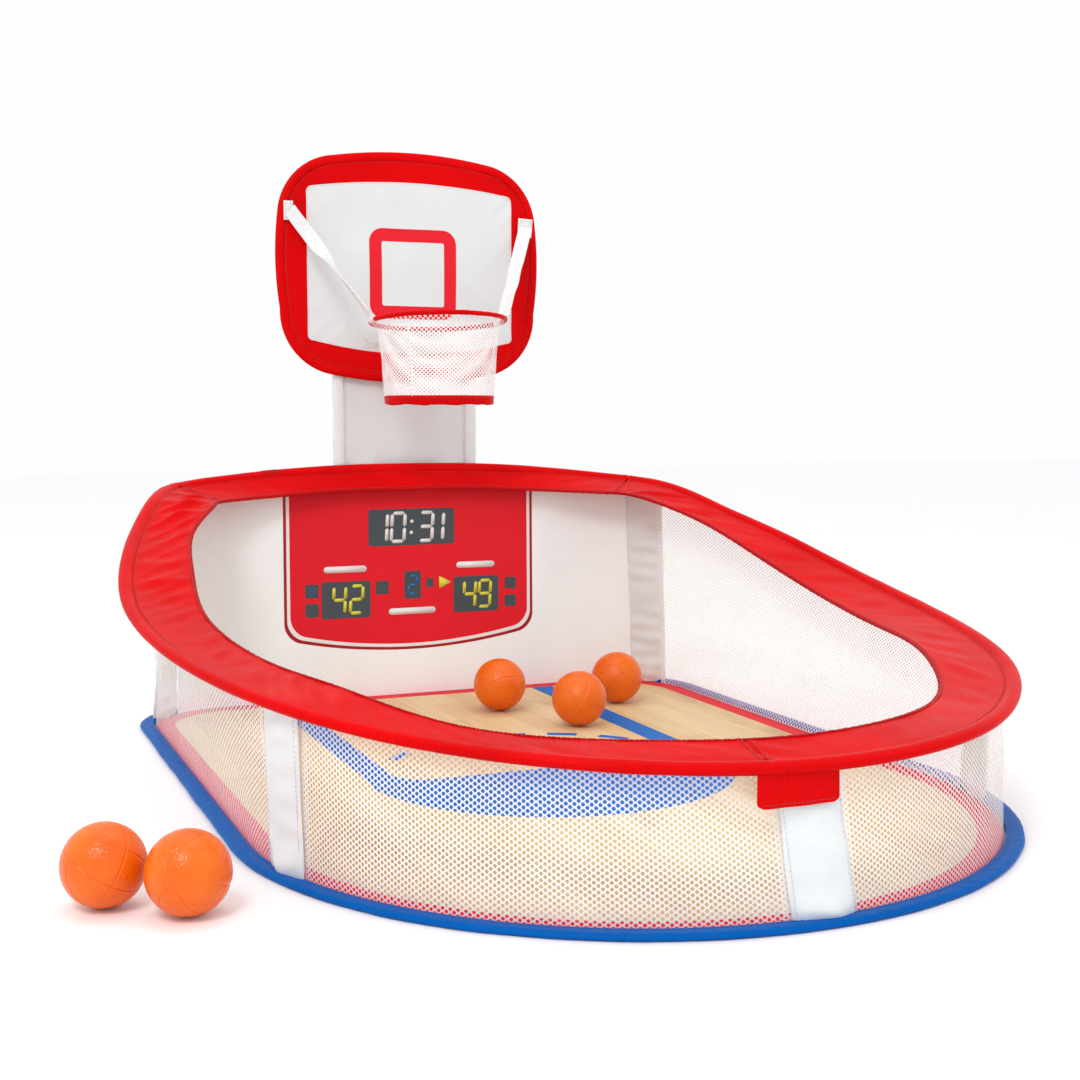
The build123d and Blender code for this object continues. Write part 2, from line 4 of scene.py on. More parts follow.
import bpy
import numpy as np
from mathutils import Euler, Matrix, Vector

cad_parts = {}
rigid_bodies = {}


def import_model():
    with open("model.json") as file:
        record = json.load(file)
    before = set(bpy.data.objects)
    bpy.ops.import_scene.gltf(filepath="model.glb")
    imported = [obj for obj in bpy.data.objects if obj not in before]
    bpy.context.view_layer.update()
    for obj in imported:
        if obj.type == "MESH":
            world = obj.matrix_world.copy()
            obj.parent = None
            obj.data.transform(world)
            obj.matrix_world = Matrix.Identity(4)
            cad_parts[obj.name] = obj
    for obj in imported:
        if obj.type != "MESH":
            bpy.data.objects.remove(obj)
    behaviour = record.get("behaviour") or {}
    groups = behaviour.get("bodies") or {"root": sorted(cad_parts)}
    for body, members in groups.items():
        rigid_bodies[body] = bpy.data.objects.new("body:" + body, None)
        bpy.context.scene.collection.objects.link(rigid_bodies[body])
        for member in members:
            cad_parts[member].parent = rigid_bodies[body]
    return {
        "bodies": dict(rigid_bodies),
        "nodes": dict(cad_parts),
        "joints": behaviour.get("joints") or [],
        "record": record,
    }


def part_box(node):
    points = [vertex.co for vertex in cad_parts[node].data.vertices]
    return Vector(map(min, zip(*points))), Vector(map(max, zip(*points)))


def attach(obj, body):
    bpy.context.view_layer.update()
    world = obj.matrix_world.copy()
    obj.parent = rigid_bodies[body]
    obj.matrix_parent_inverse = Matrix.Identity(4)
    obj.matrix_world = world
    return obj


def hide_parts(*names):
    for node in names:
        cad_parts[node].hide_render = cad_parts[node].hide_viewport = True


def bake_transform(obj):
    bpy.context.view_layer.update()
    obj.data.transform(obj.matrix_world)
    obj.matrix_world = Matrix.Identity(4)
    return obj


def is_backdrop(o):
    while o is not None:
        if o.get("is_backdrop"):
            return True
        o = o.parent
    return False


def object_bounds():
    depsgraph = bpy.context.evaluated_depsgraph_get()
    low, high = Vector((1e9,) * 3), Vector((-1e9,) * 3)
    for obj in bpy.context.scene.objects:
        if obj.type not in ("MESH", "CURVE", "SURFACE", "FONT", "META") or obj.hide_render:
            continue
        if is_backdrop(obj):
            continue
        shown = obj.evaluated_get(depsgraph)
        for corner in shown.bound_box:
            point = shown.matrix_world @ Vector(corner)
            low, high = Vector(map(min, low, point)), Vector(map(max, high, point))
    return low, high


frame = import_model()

cad_box = [list(map(float, c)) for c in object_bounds()]

# ---------------------------------------------------------------------------
# plan and ring geometry, millimetres, the same curves as the CAD model
# ---------------------------------------------------------------------------
half_width, rear_y, corner_r, nose_y = 378.0, 520.0, 110.0, -163.0
mat_t, print_t = 1.6, 0.3
border_w, binding_w, binding_h = 24.0, 18.0, 6.0
lane_x, throw_y, throw_r = (174.0, 206.0), 20.0, 210.0
wall_off, wall_foot = 1.0, 6.1
ring_outer_half = [(0, 535, 330), (155, 536, 326), (306, 530, 310), (373, 440, 297),
                   (411, 337, 266), (439, 230, 237), (456, 82, 200), (435, -118, 172),
                   (376, -299, 154), (282, -431, 141), (154, -525, 133), (0, -554, 128)]
ring_inner_half = [(0, 498, 296), (137, 499, 293), (264, 465, 287), (301, 403, 283),
                   (343, 312, 257), (363, 201, 222), (371, 68, 185), (347, -104, 164),
                   (309, -240, 158), (241, -366, 142), (131, -459, 140), (0, -490, 139)]
seam_rear_left, seam_rear_right, seam_front = 22 - 2.35, 2.35, 11.33
rng = np.random.default_rng(11)


def unit(v):
    v = np.asarray(v, float)
    return v / np.maximum(np.linalg.norm(v, axis=-1, keepdims=True), 1e-12)


def closed_curve(half):
    pts = list(half) + [(-x, y, z) for x, y, z in half[-2:0:-1]]
    P = np.array(pts, float)
    n = len(P)
    A = 4 * np.eye(n) + np.roll(np.eye(n), 1, 0) + np.roll(np.eye(n), -1, 0)
    M = np.linalg.solve(A, 3 * (np.roll(P, -1, 0) - np.roll(P, 1, 0)))

    def at(t):
        t = np.asarray(t, float)
        i = np.floor(t).astype(int)
        s = (t - i)[..., None]
        a, b = i % n, (i + 1) % n
        return ((2 * s**3 - 3 * s**2 + 1) * P[a] + (s**3 - 2 * s**2 + s) * M[a]
                + (-2 * s**3 + 3 * s**2) * P[b] + (s**3 - s**2) * M[b])

    return at


ring_outer, ring_inner = closed_curve(ring_outer_half), closed_curve(ring_inner_half)


def ring_frame(t):
    o, i = ring_outer(t), ring_inner(t)
    tangent = unit(ring_outer(np.asarray(t) + 0.02) - ring_outer(np.asarray(t) - 0.02))
    e = unit(i - o)
    u = unit(np.cross(tangent, e))
    u = np.where(u[..., 2:3] < 0, -u, u)
    return o, i, e, u


def smooth(x):
    x = np.clip(x, 0, 1)
    return x * x * (3 - 2 * x)


def wall_top(t, drop=5.2):
    o, i, e, u = ring_frame(t)
    p = o + e * 20.0 - u * drop
    w = (1 - smooth((np.abs(p[..., 0]) - 210) / 80)) * (p[..., 1] > 400)
    p[..., 1] = w * (rear_y + wall_off) + (1 - w) * p[..., 1]
    return p


side_len = rear_y - corner_r - nose_y
s_corner = half_width - corner_r
s_side = s_corner + corner_r * math.pi / 2
s_nose = s_side + side_len
s_front = s_nose + half_width * math.pi / 2
s_total = 2 * s_front


def plan_point(s, d=0.0):
    """Points (x, y) and outward normals of the floor plan at distances s from the rear centre."""
    s = np.asarray(s, float) % s_total
    k = np.where(s > s_front, -1.0, 1.0)
    s = np.where(s > s_front, s_total - s, s)
    a1 = math.pi / 2 - (s - s_corner) / corner_r
    a2 = -(s - s_nose) / half_width
    zone = [s <= s_corner, s <= s_side, s <= s_nose]
    nx = np.select(zone, [0 * s, np.cos(a1), 0 * s + 1], np.cos(a2))
    ny = np.select(zone, [0 * s + 1, np.sin(a1), 0 * s], np.sin(a2))
    px = np.select(zone, [s, s_corner + corner_r * nx, 0 * s + half_width], half_width * nx)
    py = np.select(zone, [0 * s + rear_y, rear_y - corner_r + corner_r * ny,
                          rear_y - corner_r - (s - s_side)], nose_y + half_width * ny)
    return (np.stack([k * (px + d * nx), py + d * ny], -1), np.stack([k * nx, ny], -1))


def nearest_s(p):
    x, y = abs(p[0]), p[1]
    if x <= s_corner and y > 0:
        s = x
    elif y > rear_y - corner_r:
        s = s_corner + corner_r * (math.pi / 2 - math.atan2(y - (rear_y - corner_r), x - s_corner))
    elif y > nose_y:
        s = s_side + (rear_y - corner_r - y)
    else:
        s = s_nose + half_width * math.atan2(nose_y - y, x)
    return s if p[0] >= 0 else s_total - s


def ring_place(target, lo, hi):
    for _ in range(50):
        mid = (lo + hi) / 2
        if nearest_s(wall_top(mid)) < target:
            lo = mid
        else:
            hi = mid
    return (lo + hi) / 2


def step_top(t, dist):
    p = wall_top(t)
    k = 0.002 if dist > 0 else -0.002
    q = t
    while np.linalg.norm((wall_top(q) - p)[:2]) < abs(dist):
        q += k
    return q


def ripple(seed, count, short, long, dims=2, aniso=None):
    """Smooth repeatable waviness about -1..1 over points with that many coordinates, in mm."""
    r = np.random.default_rng(seed)
    k = r.normal(size=(count, dims))
    k /= np.linalg.norm(k, axis=1, keepdims=True)
    k *= (2 * math.pi / np.exp(r.uniform(math.log(short), math.log(long), count)))[:, None]
    if aniso is not None:
        k = k * np.asarray(aniso)
    ph = r.uniform(0, 2 * math.pi, count)

    def at(*c):
        v = sum(k[:, j] * np.asarray(c[j], float)[..., None] for j in range(dims))
        return np.sin(v + ph).sum(-1) / math.sqrt(count)

    return at


# ---------------------------------------------------------------------------
# materials
# ---------------------------------------------------------------------------
def lin(c, k=0.80):
    return tuple(k * ((v / 255) / 12.92 if v <= 10.3 else ((v / 255 + 0.055) / 1.055) ** 2.4) for v in c) + (1.0,)


class Nodes:
    """A small helper that wires one material."""

    def __init__(self, name):
        self.m = bpy.data.materials.new(name)
        self.m.use_nodes = True
        self.t = self.m.node_tree
        self.b = next(n for n in self.t.nodes if n.type == "BSDF_PRINCIPLED")
        self.obj = self.add("ShaderNodeTexCoord").outputs["Object"]

    def add(self, kind, **props):
        n = self.t.nodes.new(kind)
        for k, v in props.items():
            setattr(n, k, v)
        return n

    def link(self, a, b):
        self.t.links.new(a, b)

    def put(self, n, key, value):
        if hasattr(value, "is_output") or isinstance(value, bpy.types.NodeSocket):
            self.link(value, n.inputs[key])
        else:
            n.inputs[key].default_value = value

    def uv(self):
        return self.add("ShaderNodeUVMap", uv_map="UVMap").outputs[0]

    def scaled(self, vec, scale, rot=(0, 0, 0), loc=(0, 0, 0)):
        n = self.add("ShaderNodeMapping")
        self.link(vec, n.inputs[0])
        n.inputs["Scale"].default_value = scale
        n.inputs["Rotation"].default_value = rot
        n.inputs["Location"].default_value = loc
        return n.outputs[0]

    def noise(self, vec, scale, detail=3, rough=0.5, distortion=0.0):
        n = self.add("ShaderNodeTexNoise")
        self.link(vec, n.inputs["Vector"])
        n.inputs["Scale"].default_value = scale
        n.inputs["Detail"].default_value = detail
        n.inputs["Roughness"].default_value = rough
        n.inputs["Distortion"].default_value = distortion
        return n.outputs["Fac"]

    def wave(self, vec, scale, direction="X", distortion=0.0):
        n = self.add("ShaderNodeTexWave", wave_type="BANDS", bands_direction=direction)
        self.link(vec, n.inputs["Vector"])
        n.inputs["Scale"].default_value = scale
        n.inputs["Distortion"].default_value = distortion
        return n.outputs["Fac"]

    def math(self, op, a, b=0.0, clamp=False):
        n = self.add("ShaderNodeMath", operation=op, use_clamp=clamp)
        self.put(n, 0, a)
        self.put(n, 1, b)
        return n.outputs[0]

    def ramp(self, fac, lo, hi, a=0.0, b=1.0):
        n = self.add("ShaderNodeMapRange")
        self.link(fac, n.inputs["Value"])
        for k, v in (("From Min", lo), ("From Max", hi), ("To Min", a), ("To Max", b)):
            n.inputs[k].default_value = v
        return n.outputs[0]

    def mix(self, fac, a, b, kind="MIX"):
        n = self.add("ShaderNodeMix", data_type="RGBA", blend_type=kind)
        self.put(n, 0, fac)
        self.put(n, 6, a)
        self.put(n, 7, b)
        return n.outputs[2]

    def bump(self, height, strength, distance=0.001, after=None):
        n = self.add("ShaderNodeBump")
        n.inputs["Strength"].default_value = strength
        n.inputs["Distance"].default_value = distance
        self.link(height, n.inputs["Height"])
        if after is not None:
            self.link(after, n.inputs["Normal"])
        return n.outputs[0]

    def end(self, color=None, rough=None, normal=None, **const):
        if color is not None:
            self.put(self.b, "Base Color", color)
        if rough is not None:
            self.put(self.b, "Roughness", rough)
        if normal is not None:
            self.link(normal, self.b.inputs["Normal"])
        for k, v in const.items():
            self.b.inputs[k].default_value = v
        return self.m


def cloth(name, rgb, dark=0.82, light=1.06, rough=0.55, weave=0.9, strength=0.35, sheen=0.25, use_uv=True, k_all=0.80,
          coat=0.0, blotch=9.0, translucent=0.0, specular=0.5):
    """Woven fabric: plain weave, uneven dye, fine lint, soft sheen."""
    n = Nodes(name)
    base = lin(rgb, k_all)
    a = tuple(min(1, v * dark) for v in base[:3]) + (1,)
    b = tuple(min(1, v * light) for v in base[:3]) + (1,)
    big = n.noise(n.obj, blotch, 4, 0.55)
    small = n.noise(n.obj, 260, 3, 0.6)
    tone = n.math("ADD", n.math("MULTIPLY", big, 0.7), n.math("MULTIPLY", small, 0.3))
    vec = n.uv() if use_uv else n.obj
    k = 1000.0 / weave / 20.0 * math.pi / 3.1416
    wx = n.wave(vec, k, "X", 0.4)
    wy = n.wave(vec, k, "Y", 0.4)
    threads = n.math("MAXIMUM", wx, wy) if use_uv else n.math("ADD", wx, n.wave(vec, k, "Z", 0.4))
    tone = n.math("ADD", tone, n.math("MULTIPLY", threads, 0.10))
    color = n.mix(n.ramp(tone, 0.33, 0.72), a, b)
    normal = n.bump(threads, strength, 0.0004)
    normal = n.bump(n.noise(n.obj, 55, 4, 0.6), 0.12, 0.002, normal)
    roughness = n.ramp(small, 0.3, 0.7, rough - 0.07, rough + 0.09)
    const = {"Sheen Weight": sheen, "Sheen Roughness": 0.4, "Specular IOR Level": specular,
             "Sheen Tint": tuple(min(1, 0.15 + v) for v in base[:3]) + (1,)}
    if coat:
        const["Coat Weight"] = coat
    m = n.end(color, roughness, normal, **const)
    if translucent:
        n.b.inputs["Subsurface Weight"].default_value = translucent
        n.b.inputs["Subsurface Radius"].default_value = (0.004, 0.004, 0.004)
        n.b.inputs["Subsurface Scale"].default_value = 0.5
    return m


red_rgb = (238, 10, 14)
M = {
    "red": cloth("red_satin", red_rgb, dark=0.82, light=1.08, rough=0.33, weave=0.8, strength=0.12, sheen=0.01, specular=0.025, k_all=0.74),
    "red_edge": cloth("red_bound_edge", (196, 6, 12), rough=0.5, weave=1.2, strength=0.4, sheen=0.03, specular=0.08),
    "red_print": cloth("red_printed", (244, 38, 52), dark=0.95, light=1.03, rough=0.5, weave=0.7, strength=0.1, sheen=0.02, specular=0.1),
    "dark_red": cloth("dark_red_line", (180, 20, 30), dark=0.94, rough=0.5, weave=0.7, strength=0.2, specular=0.3),
    "white": cloth("white_polyester", (248, 254, 255), dark=0.96, light=1.02, rough=0.42, weave=0.8, strength=0.1, sheen=0.05, specular=0.4, k_all=0.95),
    # painted shade: the sleeve and board materials below are the same white cloth as white_polyester, made darker
    # (k_all 0.80 and 0.74 against 0.95) to stand in for how light falls on them
    "white_shaded_sleeve": cloth("white_cloth_painted_shade_sleeve", (247, 252, 253), dark=0.95, light=1.03, rough=0.38, weave=0.8, strength=0.1, sheen=0.04, specular=0.45, k_all=0.80),
    "white_shaded_board": cloth("white_cloth_painted_shade_board", (246, 250, 251), dark=0.96, light=1.02, rough=0.5, weave=0.8, strength=0.1, sheen=0.05, specular=0.3, k_all=0.74),
    "white_print": cloth("white_printed", (255, 255, 255), dark=0.96, light=1.02, rough=0.5, weave=0.7, strength=0.15),
    "blue_print": cloth("blue_printed", (10, 116, 206), dark=0.93, light=1.05, rough=0.5, weave=0.9, strength=0.1, sheen=0.02, specular=0.1),
    "blue": cloth("blue_binding_tape", (0, 100, 190), dark=0.88, light=1.06, rough=0.38, weave=1.1, strength=0.2, sheen=0.01, specular=0.04),
    "grey_print": cloth("grey_printed", (74, 84, 90), dark=0.92, rough=0.5, weave=0.7, strength=0.15, specular=0.3),
    "yellow_print": cloth("yellow_printed", (236, 234, 70), dark=0.96, rough=0.5, weave=0.7, strength=0.15),
    "navy_print": cloth("navy_printed", (30, 120, 190), dark=0.94, rough=0.5, weave=0.7, strength=0.15),
    "webbing": cloth("white_webbing_tape", (246, 247, 247), dark=0.90, light=1.03, rough=0.6, weave=1.6, strength=0.8, sheen=0.2),
    "loop": cloth("hook_and_loop_pile", (226, 226, 222), dark=0.86, rough=0.9, weave=1.3, strength=1.0, sheen=0.5),
}


def knit_material(name, alpha):
    """Knitted mesh yarn: fine ribs, slightly shiny filaments."""
    n = Nodes(name)
    fine = n.noise(n.obj, 900, 2, 0.6)
    ribs = n.wave(n.scaled(n.obj, (1, 1, 1)), 130, "Z", 2.0)
    big = n.noise(n.obj, 12, 3, 0.5)
    color = n.mix(n.ramp(n.math("ADD", n.math("MULTIPLY", big, 0.6), n.math("MULTIPLY", fine, 0.4)), 0.35, 0.65),
                  lin((242, 242, 242), 1.0), lin((254, 254, 254), 1.0))
    normal = n.bump(n.math("ADD", ribs, fine), 0.4, 0.0004)
    return n.end(color, n.ramp(fine, 0.3, 0.7, 0.45, 0.65), normal,
                 **{"Sheen Weight": 0.1, "Specular IOR Level": 0.3, "Alpha": alpha})


def thread_material(name, rgb):
    n = Nodes(name)
    fine = n.noise(n.obj, 1200, 2, 0.6)
    base = lin(rgb)
    color = n.mix(n.ramp(fine, 0.3, 0.7), tuple(v * 0.8 for v in base[:3]) + (1,), base)
    return n.end(color, n.ramp(fine, 0.3, 0.7, 0.4, 0.6), n.bump(fine, 0.5, 0.0003), **{"Sheen Weight": 0.3})


def wood_material():
    """Printed planks: long boards front to back, staggered joints, grain, a few knots."""
    n = Nodes("printed_planks")
    turned = n.scaled(n.obj, (1, 1, 1), rot=(0, 0, math.pi / 2))
    brick = n.add("ShaderNodeTexBrick", offset=0.37, offset_frequency=2, squash=1.0, squash_frequency=2)
    n.link(turned, brick.inputs["Vector"])
    brick.inputs["Scale"].default_value = 1.0
    brick.inputs["Brick Width"].default_value = 0.31
    brick.inputs["Row Height"].default_value = 0.036
    brick.inputs["Mortar Size"].default_value = 0.0003
    brick.inputs["Mortar Smooth"].default_value = 0.6
    brick.inputs["Bias"].default_value = 0.1
    brick.inputs["Color1"].default_value = lin((240, 216, 164), 0.92)
    brick.inputs["Color2"].default_value = lin((228, 194, 134), 0.90)
    brick.inputs["Mortar"].default_value = lin((196, 154, 104), 0.95)
    streak = n.noise(n.scaled(n.obj, (120, 5, 1)), 1.0, 5, 0.6, 0.3)
    fine = n.noise(n.scaled(n.obj, (600, 16, 1)), 1.0, 3, 0.6)
    patch = n.noise(n.scaled(n.obj, (16, 4, 1)), 1.0, 3, 0.5, 0.8)
    c = n.mix(n.ramp(streak, 0.42, 0.75, 0.0, 0.35), brick.outputs["Color"], lin((204, 166, 112)))
    c = n.mix(n.ramp(fine, 0.45, 0.8, 0.0, 0.18), c, lin((184, 144, 94)))
    c = n.mix(n.ramp(patch, 0.56, 0.72, 0.0, 0.6), c, lin((196, 150, 94)))
    wx = n.wave(n.obj, 45, "X", 0.3)
    wy = n.wave(n.obj, 45, "Y", 0.3)
    normal = n.bump(n.math("MAXIMUM", wx, wy), 0.2, 0.0004)
    return n.end(c, n.ramp(fine, 0.3, 0.7, 0.42, 0.56), normal, **{"Sheen Weight": 0.1})


def ball_material():
    """Soft blown plastic with a pebbled skin."""
    n = Nodes("orange_pebbled_plastic")
    v = n.add("ShaderNodeTexVoronoi", feature="SMOOTH_F1")
    n.link(n.obj, v.inputs["Vector"])
    v.inputs["Scale"].default_value = 480
    big = n.noise(n.obj, 30, 3, 0.5)
    pebble = n.math("SUBTRACT", 1.0, v.outputs["Distance"])
    color = n.mix(n.ramp(big, 0.3, 0.7), lin((240, 98, 4), 0.88), lin((248, 118, 12), 0.88))
    # painted shade: the skin turns a deeper, darker orange between the pebbles, in the hollows of the grain
    color = n.mix(n.ramp(v.outputs["Distance"], 0.45, 0.9, 0.0, 0.35), color, lin((226, 88, 2), 1.0))
    normal = n.bump(pebble, 0.35, 0.0006)
    m = n.end(color, n.ramp(big, 0.3, 0.7, 0.24, 0.32), normal,
              **{"Specular IOR Level": 0.34})
    n.b.inputs["Subsurface Weight"].default_value = 0.05
    n.b.inputs["Subsurface Radius"].default_value = (0.006, 0.003, 0.001)
    n.b.inputs["Subsurface Scale"].default_value = 0.5
    return m


def hard_material(name, rgb, metallic=0.0, rough=0.4, streak=(1, 1, 1), scale=200, strength=0.15, **const):
    n = Nodes(name)
    base = lin(rgb)
    f = n.noise(n.scaled(n.obj, streak), scale, 4, 0.6)
    color = n.mix(n.ramp(f, 0.3, 0.7), tuple(v * 0.85 for v in base[:3]) + (1,), base)
    return n.end(color, n.ramp(f, 0.3, 0.7, rough - 0.08, rough + 0.1), n.bump(f, strength, 0.0003),
                 Metallic=metallic, **const)


M["knit"] = knit_material("white_knit_mesh", 0.74)
M["knit_net"] = knit_material("white_knit_net", 1.0)
M["wood"] = wood_material()
M["ball"] = ball_material()
M["thread_white"] = thread_material("white_thread", (238, 238, 236))
M["thread_red"] = thread_material("red_thread", (186, 8, 14))
M["thread_blue"] = thread_material("blue_thread", (20, 96, 176))
M["steel"] = hard_material("spring_steel_wire", (150, 152, 156), 1.0, 0.35, (1, 1, 1), 300)
M["rod"] = hard_material("glass_fibre_rod", (222, 221, 212), 0.0, 0.3, (300, 300, 8), 1.0, 0.2)
M["rubber"] = hard_material("black_rubber", (32, 32, 33), 0.0, 0.75, (1, 1, 1), 500, 0.4)
M["alu"] = hard_material("ferrule_tube", (196, 198, 202), 1.0, 0.3, (1, 1, 12), 200)


# ---------------------------------------------------------------------------
# mesh building
# ---------------------------------------------------------------------------
def build(name, V, groups, materials, body, replaces=(), uv=None, index=None, smooth_shade=True,
          sharp=48):
    """A mesh from points in mm and arrays of faces, each array with faces of one size."""
    V = np.asarray(V, float).reshape(-1, 3) * 0.001
    groups = [np.asarray(g, int) for g in groups if len(g)]
    loops = np.concatenate([g.ravel() for g in groups])
    sizes = np.concatenate([np.full(len(g), g.shape[1]) for g in groups])
    starts = np.concatenate([[0], np.cumsum(sizes)[:-1]])
    me = bpy.data.meshes.new(name)
    me.vertices.add(len(V))
    me.vertices.foreach_set("co", V.astype(np.float32).ravel())
    me.loops.add(len(loops))
    me.loops.foreach_set("vertex_index", loops.astype(np.int32))
    me.polygons.add(len(sizes))
    me.polygons.foreach_set("loop_start", starts.astype(np.int32))
    try:
        me.polygons.foreach_set("loop_total", sizes.astype(np.int32))
    except Exception:
        pass
    if uv is not None:
        layer = me.uv_layers.new(name="UVMap")
        layer.data.foreach_set("uv", (np.asarray(uv, float).reshape(-1, 2)[loops] * 0.001).astype(np.float32).ravel())
    me.update(calc_edges=True)
    me.validate()
    if smooth_shade:
        me.polygons.foreach_set("use_smooth", np.ones(len(me.polygons), bool))
    if not isinstance(materials, (list, tuple)):
        materials = [materials]
    for m in materials:
        me.materials.append(m)
    if smooth_shade and sharp:
        me.set_sharp_from_angle(angle=math.radians(sharp))
    if index is not None:
        me.polygons.foreach_set("material_index", np.asarray(index, np.int32))
    ob = bpy.data.objects.new(name, me)
    bpy.context.scene.collection.objects.link(ob)
    if body:
        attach(ob, body)
    if replaces:
        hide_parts(*replaces)
    return ob


def grid_faces(nu, nv, wrap_u=False, wrap_v=False, flip=False, base=0):
    i = np.arange(nu if wrap_u else nu - 1)
    j = np.arange(nv if wrap_v else nv - 1)
    I, J = np.meshgrid(i, j, indexing="ij")
    I2, J2 = (I + 1) % nu, (J + 1) % nv
    f = np.stack([I * nv + J, I2 * nv + J, I2 * nv + J2, I * nv + J2], -1).reshape(-1, 4) + base
    return f[:, ::-1] if flip else f


def length_uv(P):
    """UVs in mm along both directions of a grid of points."""
    du = np.concatenate([np.zeros((1, P.shape[1])), np.cumsum(np.linalg.norm(np.diff(P, axis=0), axis=-1), 0)])
    dv = np.concatenate([np.zeros((P.shape[0], 1)), np.cumsum(np.linalg.norm(np.diff(P, axis=1), axis=-1), 1)], 1)
    return np.stack([np.broadcast_to(du.mean(1, keepdims=True), du.shape), dv], -1)


def slab(A, B, wrap=False):
    """Closed thin solid between two grids of points; A is the front."""
    nu, nv = A.shape[:2]
    V = np.concatenate([A.reshape(-1, 3), B.reshape(-1, 3)])
    n = nu * nv
    faces = [grid_faces(nu, nv, wrap), grid_faces(nu, nv, wrap, flip=True, base=n)]
    idx = np.arange(n).reshape(nu, nv)

    def strip(line):
        a = line
        b = np.roll(line, -1) if False else line
        return np.stack([a[:-1], a[1:], a[1:] + n, a[:-1] + n], -1)[:, ::-1]

    first, last = idx[:, 0], idx[:, -1]
    if wrap:
        first, last = np.append(first, first[0]), np.append(last, last[0])
    faces.append(strip(first))
    faces.append(strip(last)[:, ::-1])
    if not wrap:
        faces.append(strip(idx[0, :])[:, ::-1])
        faces.append(strip(idx[-1, :]))
    uv = length_uv(A)
    return V, [np.concatenate(faces)], np.concatenate([uv.reshape(-1, 2)] * 2)


def tube(P, wrap_u=False, caps=True):
    """Closed surface from sections P[u, v] that go round in v, with flat fans on the two ends."""
    nu, nv = P.shape[:2]
    V = P.reshape(-1, 3)
    quads = grid_faces(nu, nv, wrap_u, True)
    uv = length_uv(np.concatenate([P, P[:, :1]], 1))[:, :-1]
    tris = []
    uvs = uv.reshape(-1, 2)
    if caps and not wrap_u:
        c0, c1 = P[0].mean(0), P[-1].mean(0)
        k = len(V)
        V = np.concatenate([V, [c0, c1]])
        uvs = np.concatenate([uvs, uv[0].mean(0)[None], uv[-1].mean(0)[None]])
        j = np.arange(nv)
        j2 = (j + 1) % nv
        tris.append(np.stack([np.full(nv, k), j, j2], -1))
        b = (nu - 1) * nv
        tris.append(np.stack([np.full(nv, k + 1), b + j2, b + j], -1))
    return V, [quads] + ([np.concatenate(tris)] if tris else []), uvs


def join(parts):
    """Several (V, groups, uv) into one."""
    V, quads, tris, uv, n = [], [], [], [], 0
    for v, groups, w in parts:
        for g in groups:
            (quads if g.shape[1] == 4 else tris).append(g + n)
        V.append(v)
        uv.append(w)
        n += len(v)
    return (np.concatenate(V), [np.concatenate(x) for x in (quads, tris) if x], np.concatenate(uv))


def outward(ob):
    """Faces of a closed piece turned outwards."""
    import bmesh
    bm = bmesh.new()
    bm.from_mesh(ob.data)
    bmesh.ops.recalc_face_normals(bm, faces=bm.faces)
    bm.to_mesh(ob.data)
    bm.free()
    ob.data.update()
    return ob


def stitches(points, normals, pitch=4.2, length=2.8, r=0.35, lift=0.1, side=None):
    """A row of thread stitches along a line of points on a surface."""
    P, N = np.asarray(points, float), np.asarray(normals, float)
    d = np.concatenate([[0], np.cumsum(np.linalg.norm(np.diff(P, axis=0), axis=1))])
    count = max(1, int(d[-1] / pitch))
    mid = (np.arange(count) + 0.5) * d[-1] / count
    parts = []
    ks = np.array([-0.5, -0.3, 0.0, 0.3, 0.5])
    rise = np.array([-0.9, 0.45, 1.0, 0.45, -0.9])
    at = lambda q: np.stack([np.interp(q, d, P[:, j]) for j in range(3)], -1)
    an = lambda q: unit(np.stack([np.interp(q, d, N[:, j]) for j in range(3)], -1))
    ang = np.arange(5) * 2 * math.pi / 5
    C = at((mid[:, None] + ks * length).ravel()).reshape(count, 5, 3)
    Nn = an(mid)[:, None, :]
    T = unit(C[:, -1] - C[:, 0])[:, None, :]
    S = np.cross(T, Nn)
    C = C + Nn * (lift + rise * r)[None, :, None]
    ring = (C[:, :, None, :] + (S[:, :, None, :] * np.cos(ang)[None, None, :, None]
                                + Nn[:, :, None, :] * np.sin(ang)[None, None, :, None]) * r)
    V = ring.reshape(-1, 3)
    q = grid_faces(5, 5, False, True)
    quads = (q[None] + (np.arange(count) * 25)[:, None, None]).reshape(-1, 4)
    caps = np.array([[0, 1, 2, 3, 4], [24, 23, 22, 21, 20]])
    caps = (caps[None] + (np.arange(count) * 25)[:, None, None]).reshape(-1, 5)
    return V, [quads, caps]


def thread(name, rows, material, body):
    V, quads, caps, n = [], [], [], 0
    for r in rows:
        v, (q, c) = r
        V.append(v)
        quads.append(q + n)
        caps.append(c + n)
        n += len(v)
    ob = build(name, np.concatenate(V), [np.concatenate(quads), np.concatenate(caps)], material, body)
    return outward(ob)


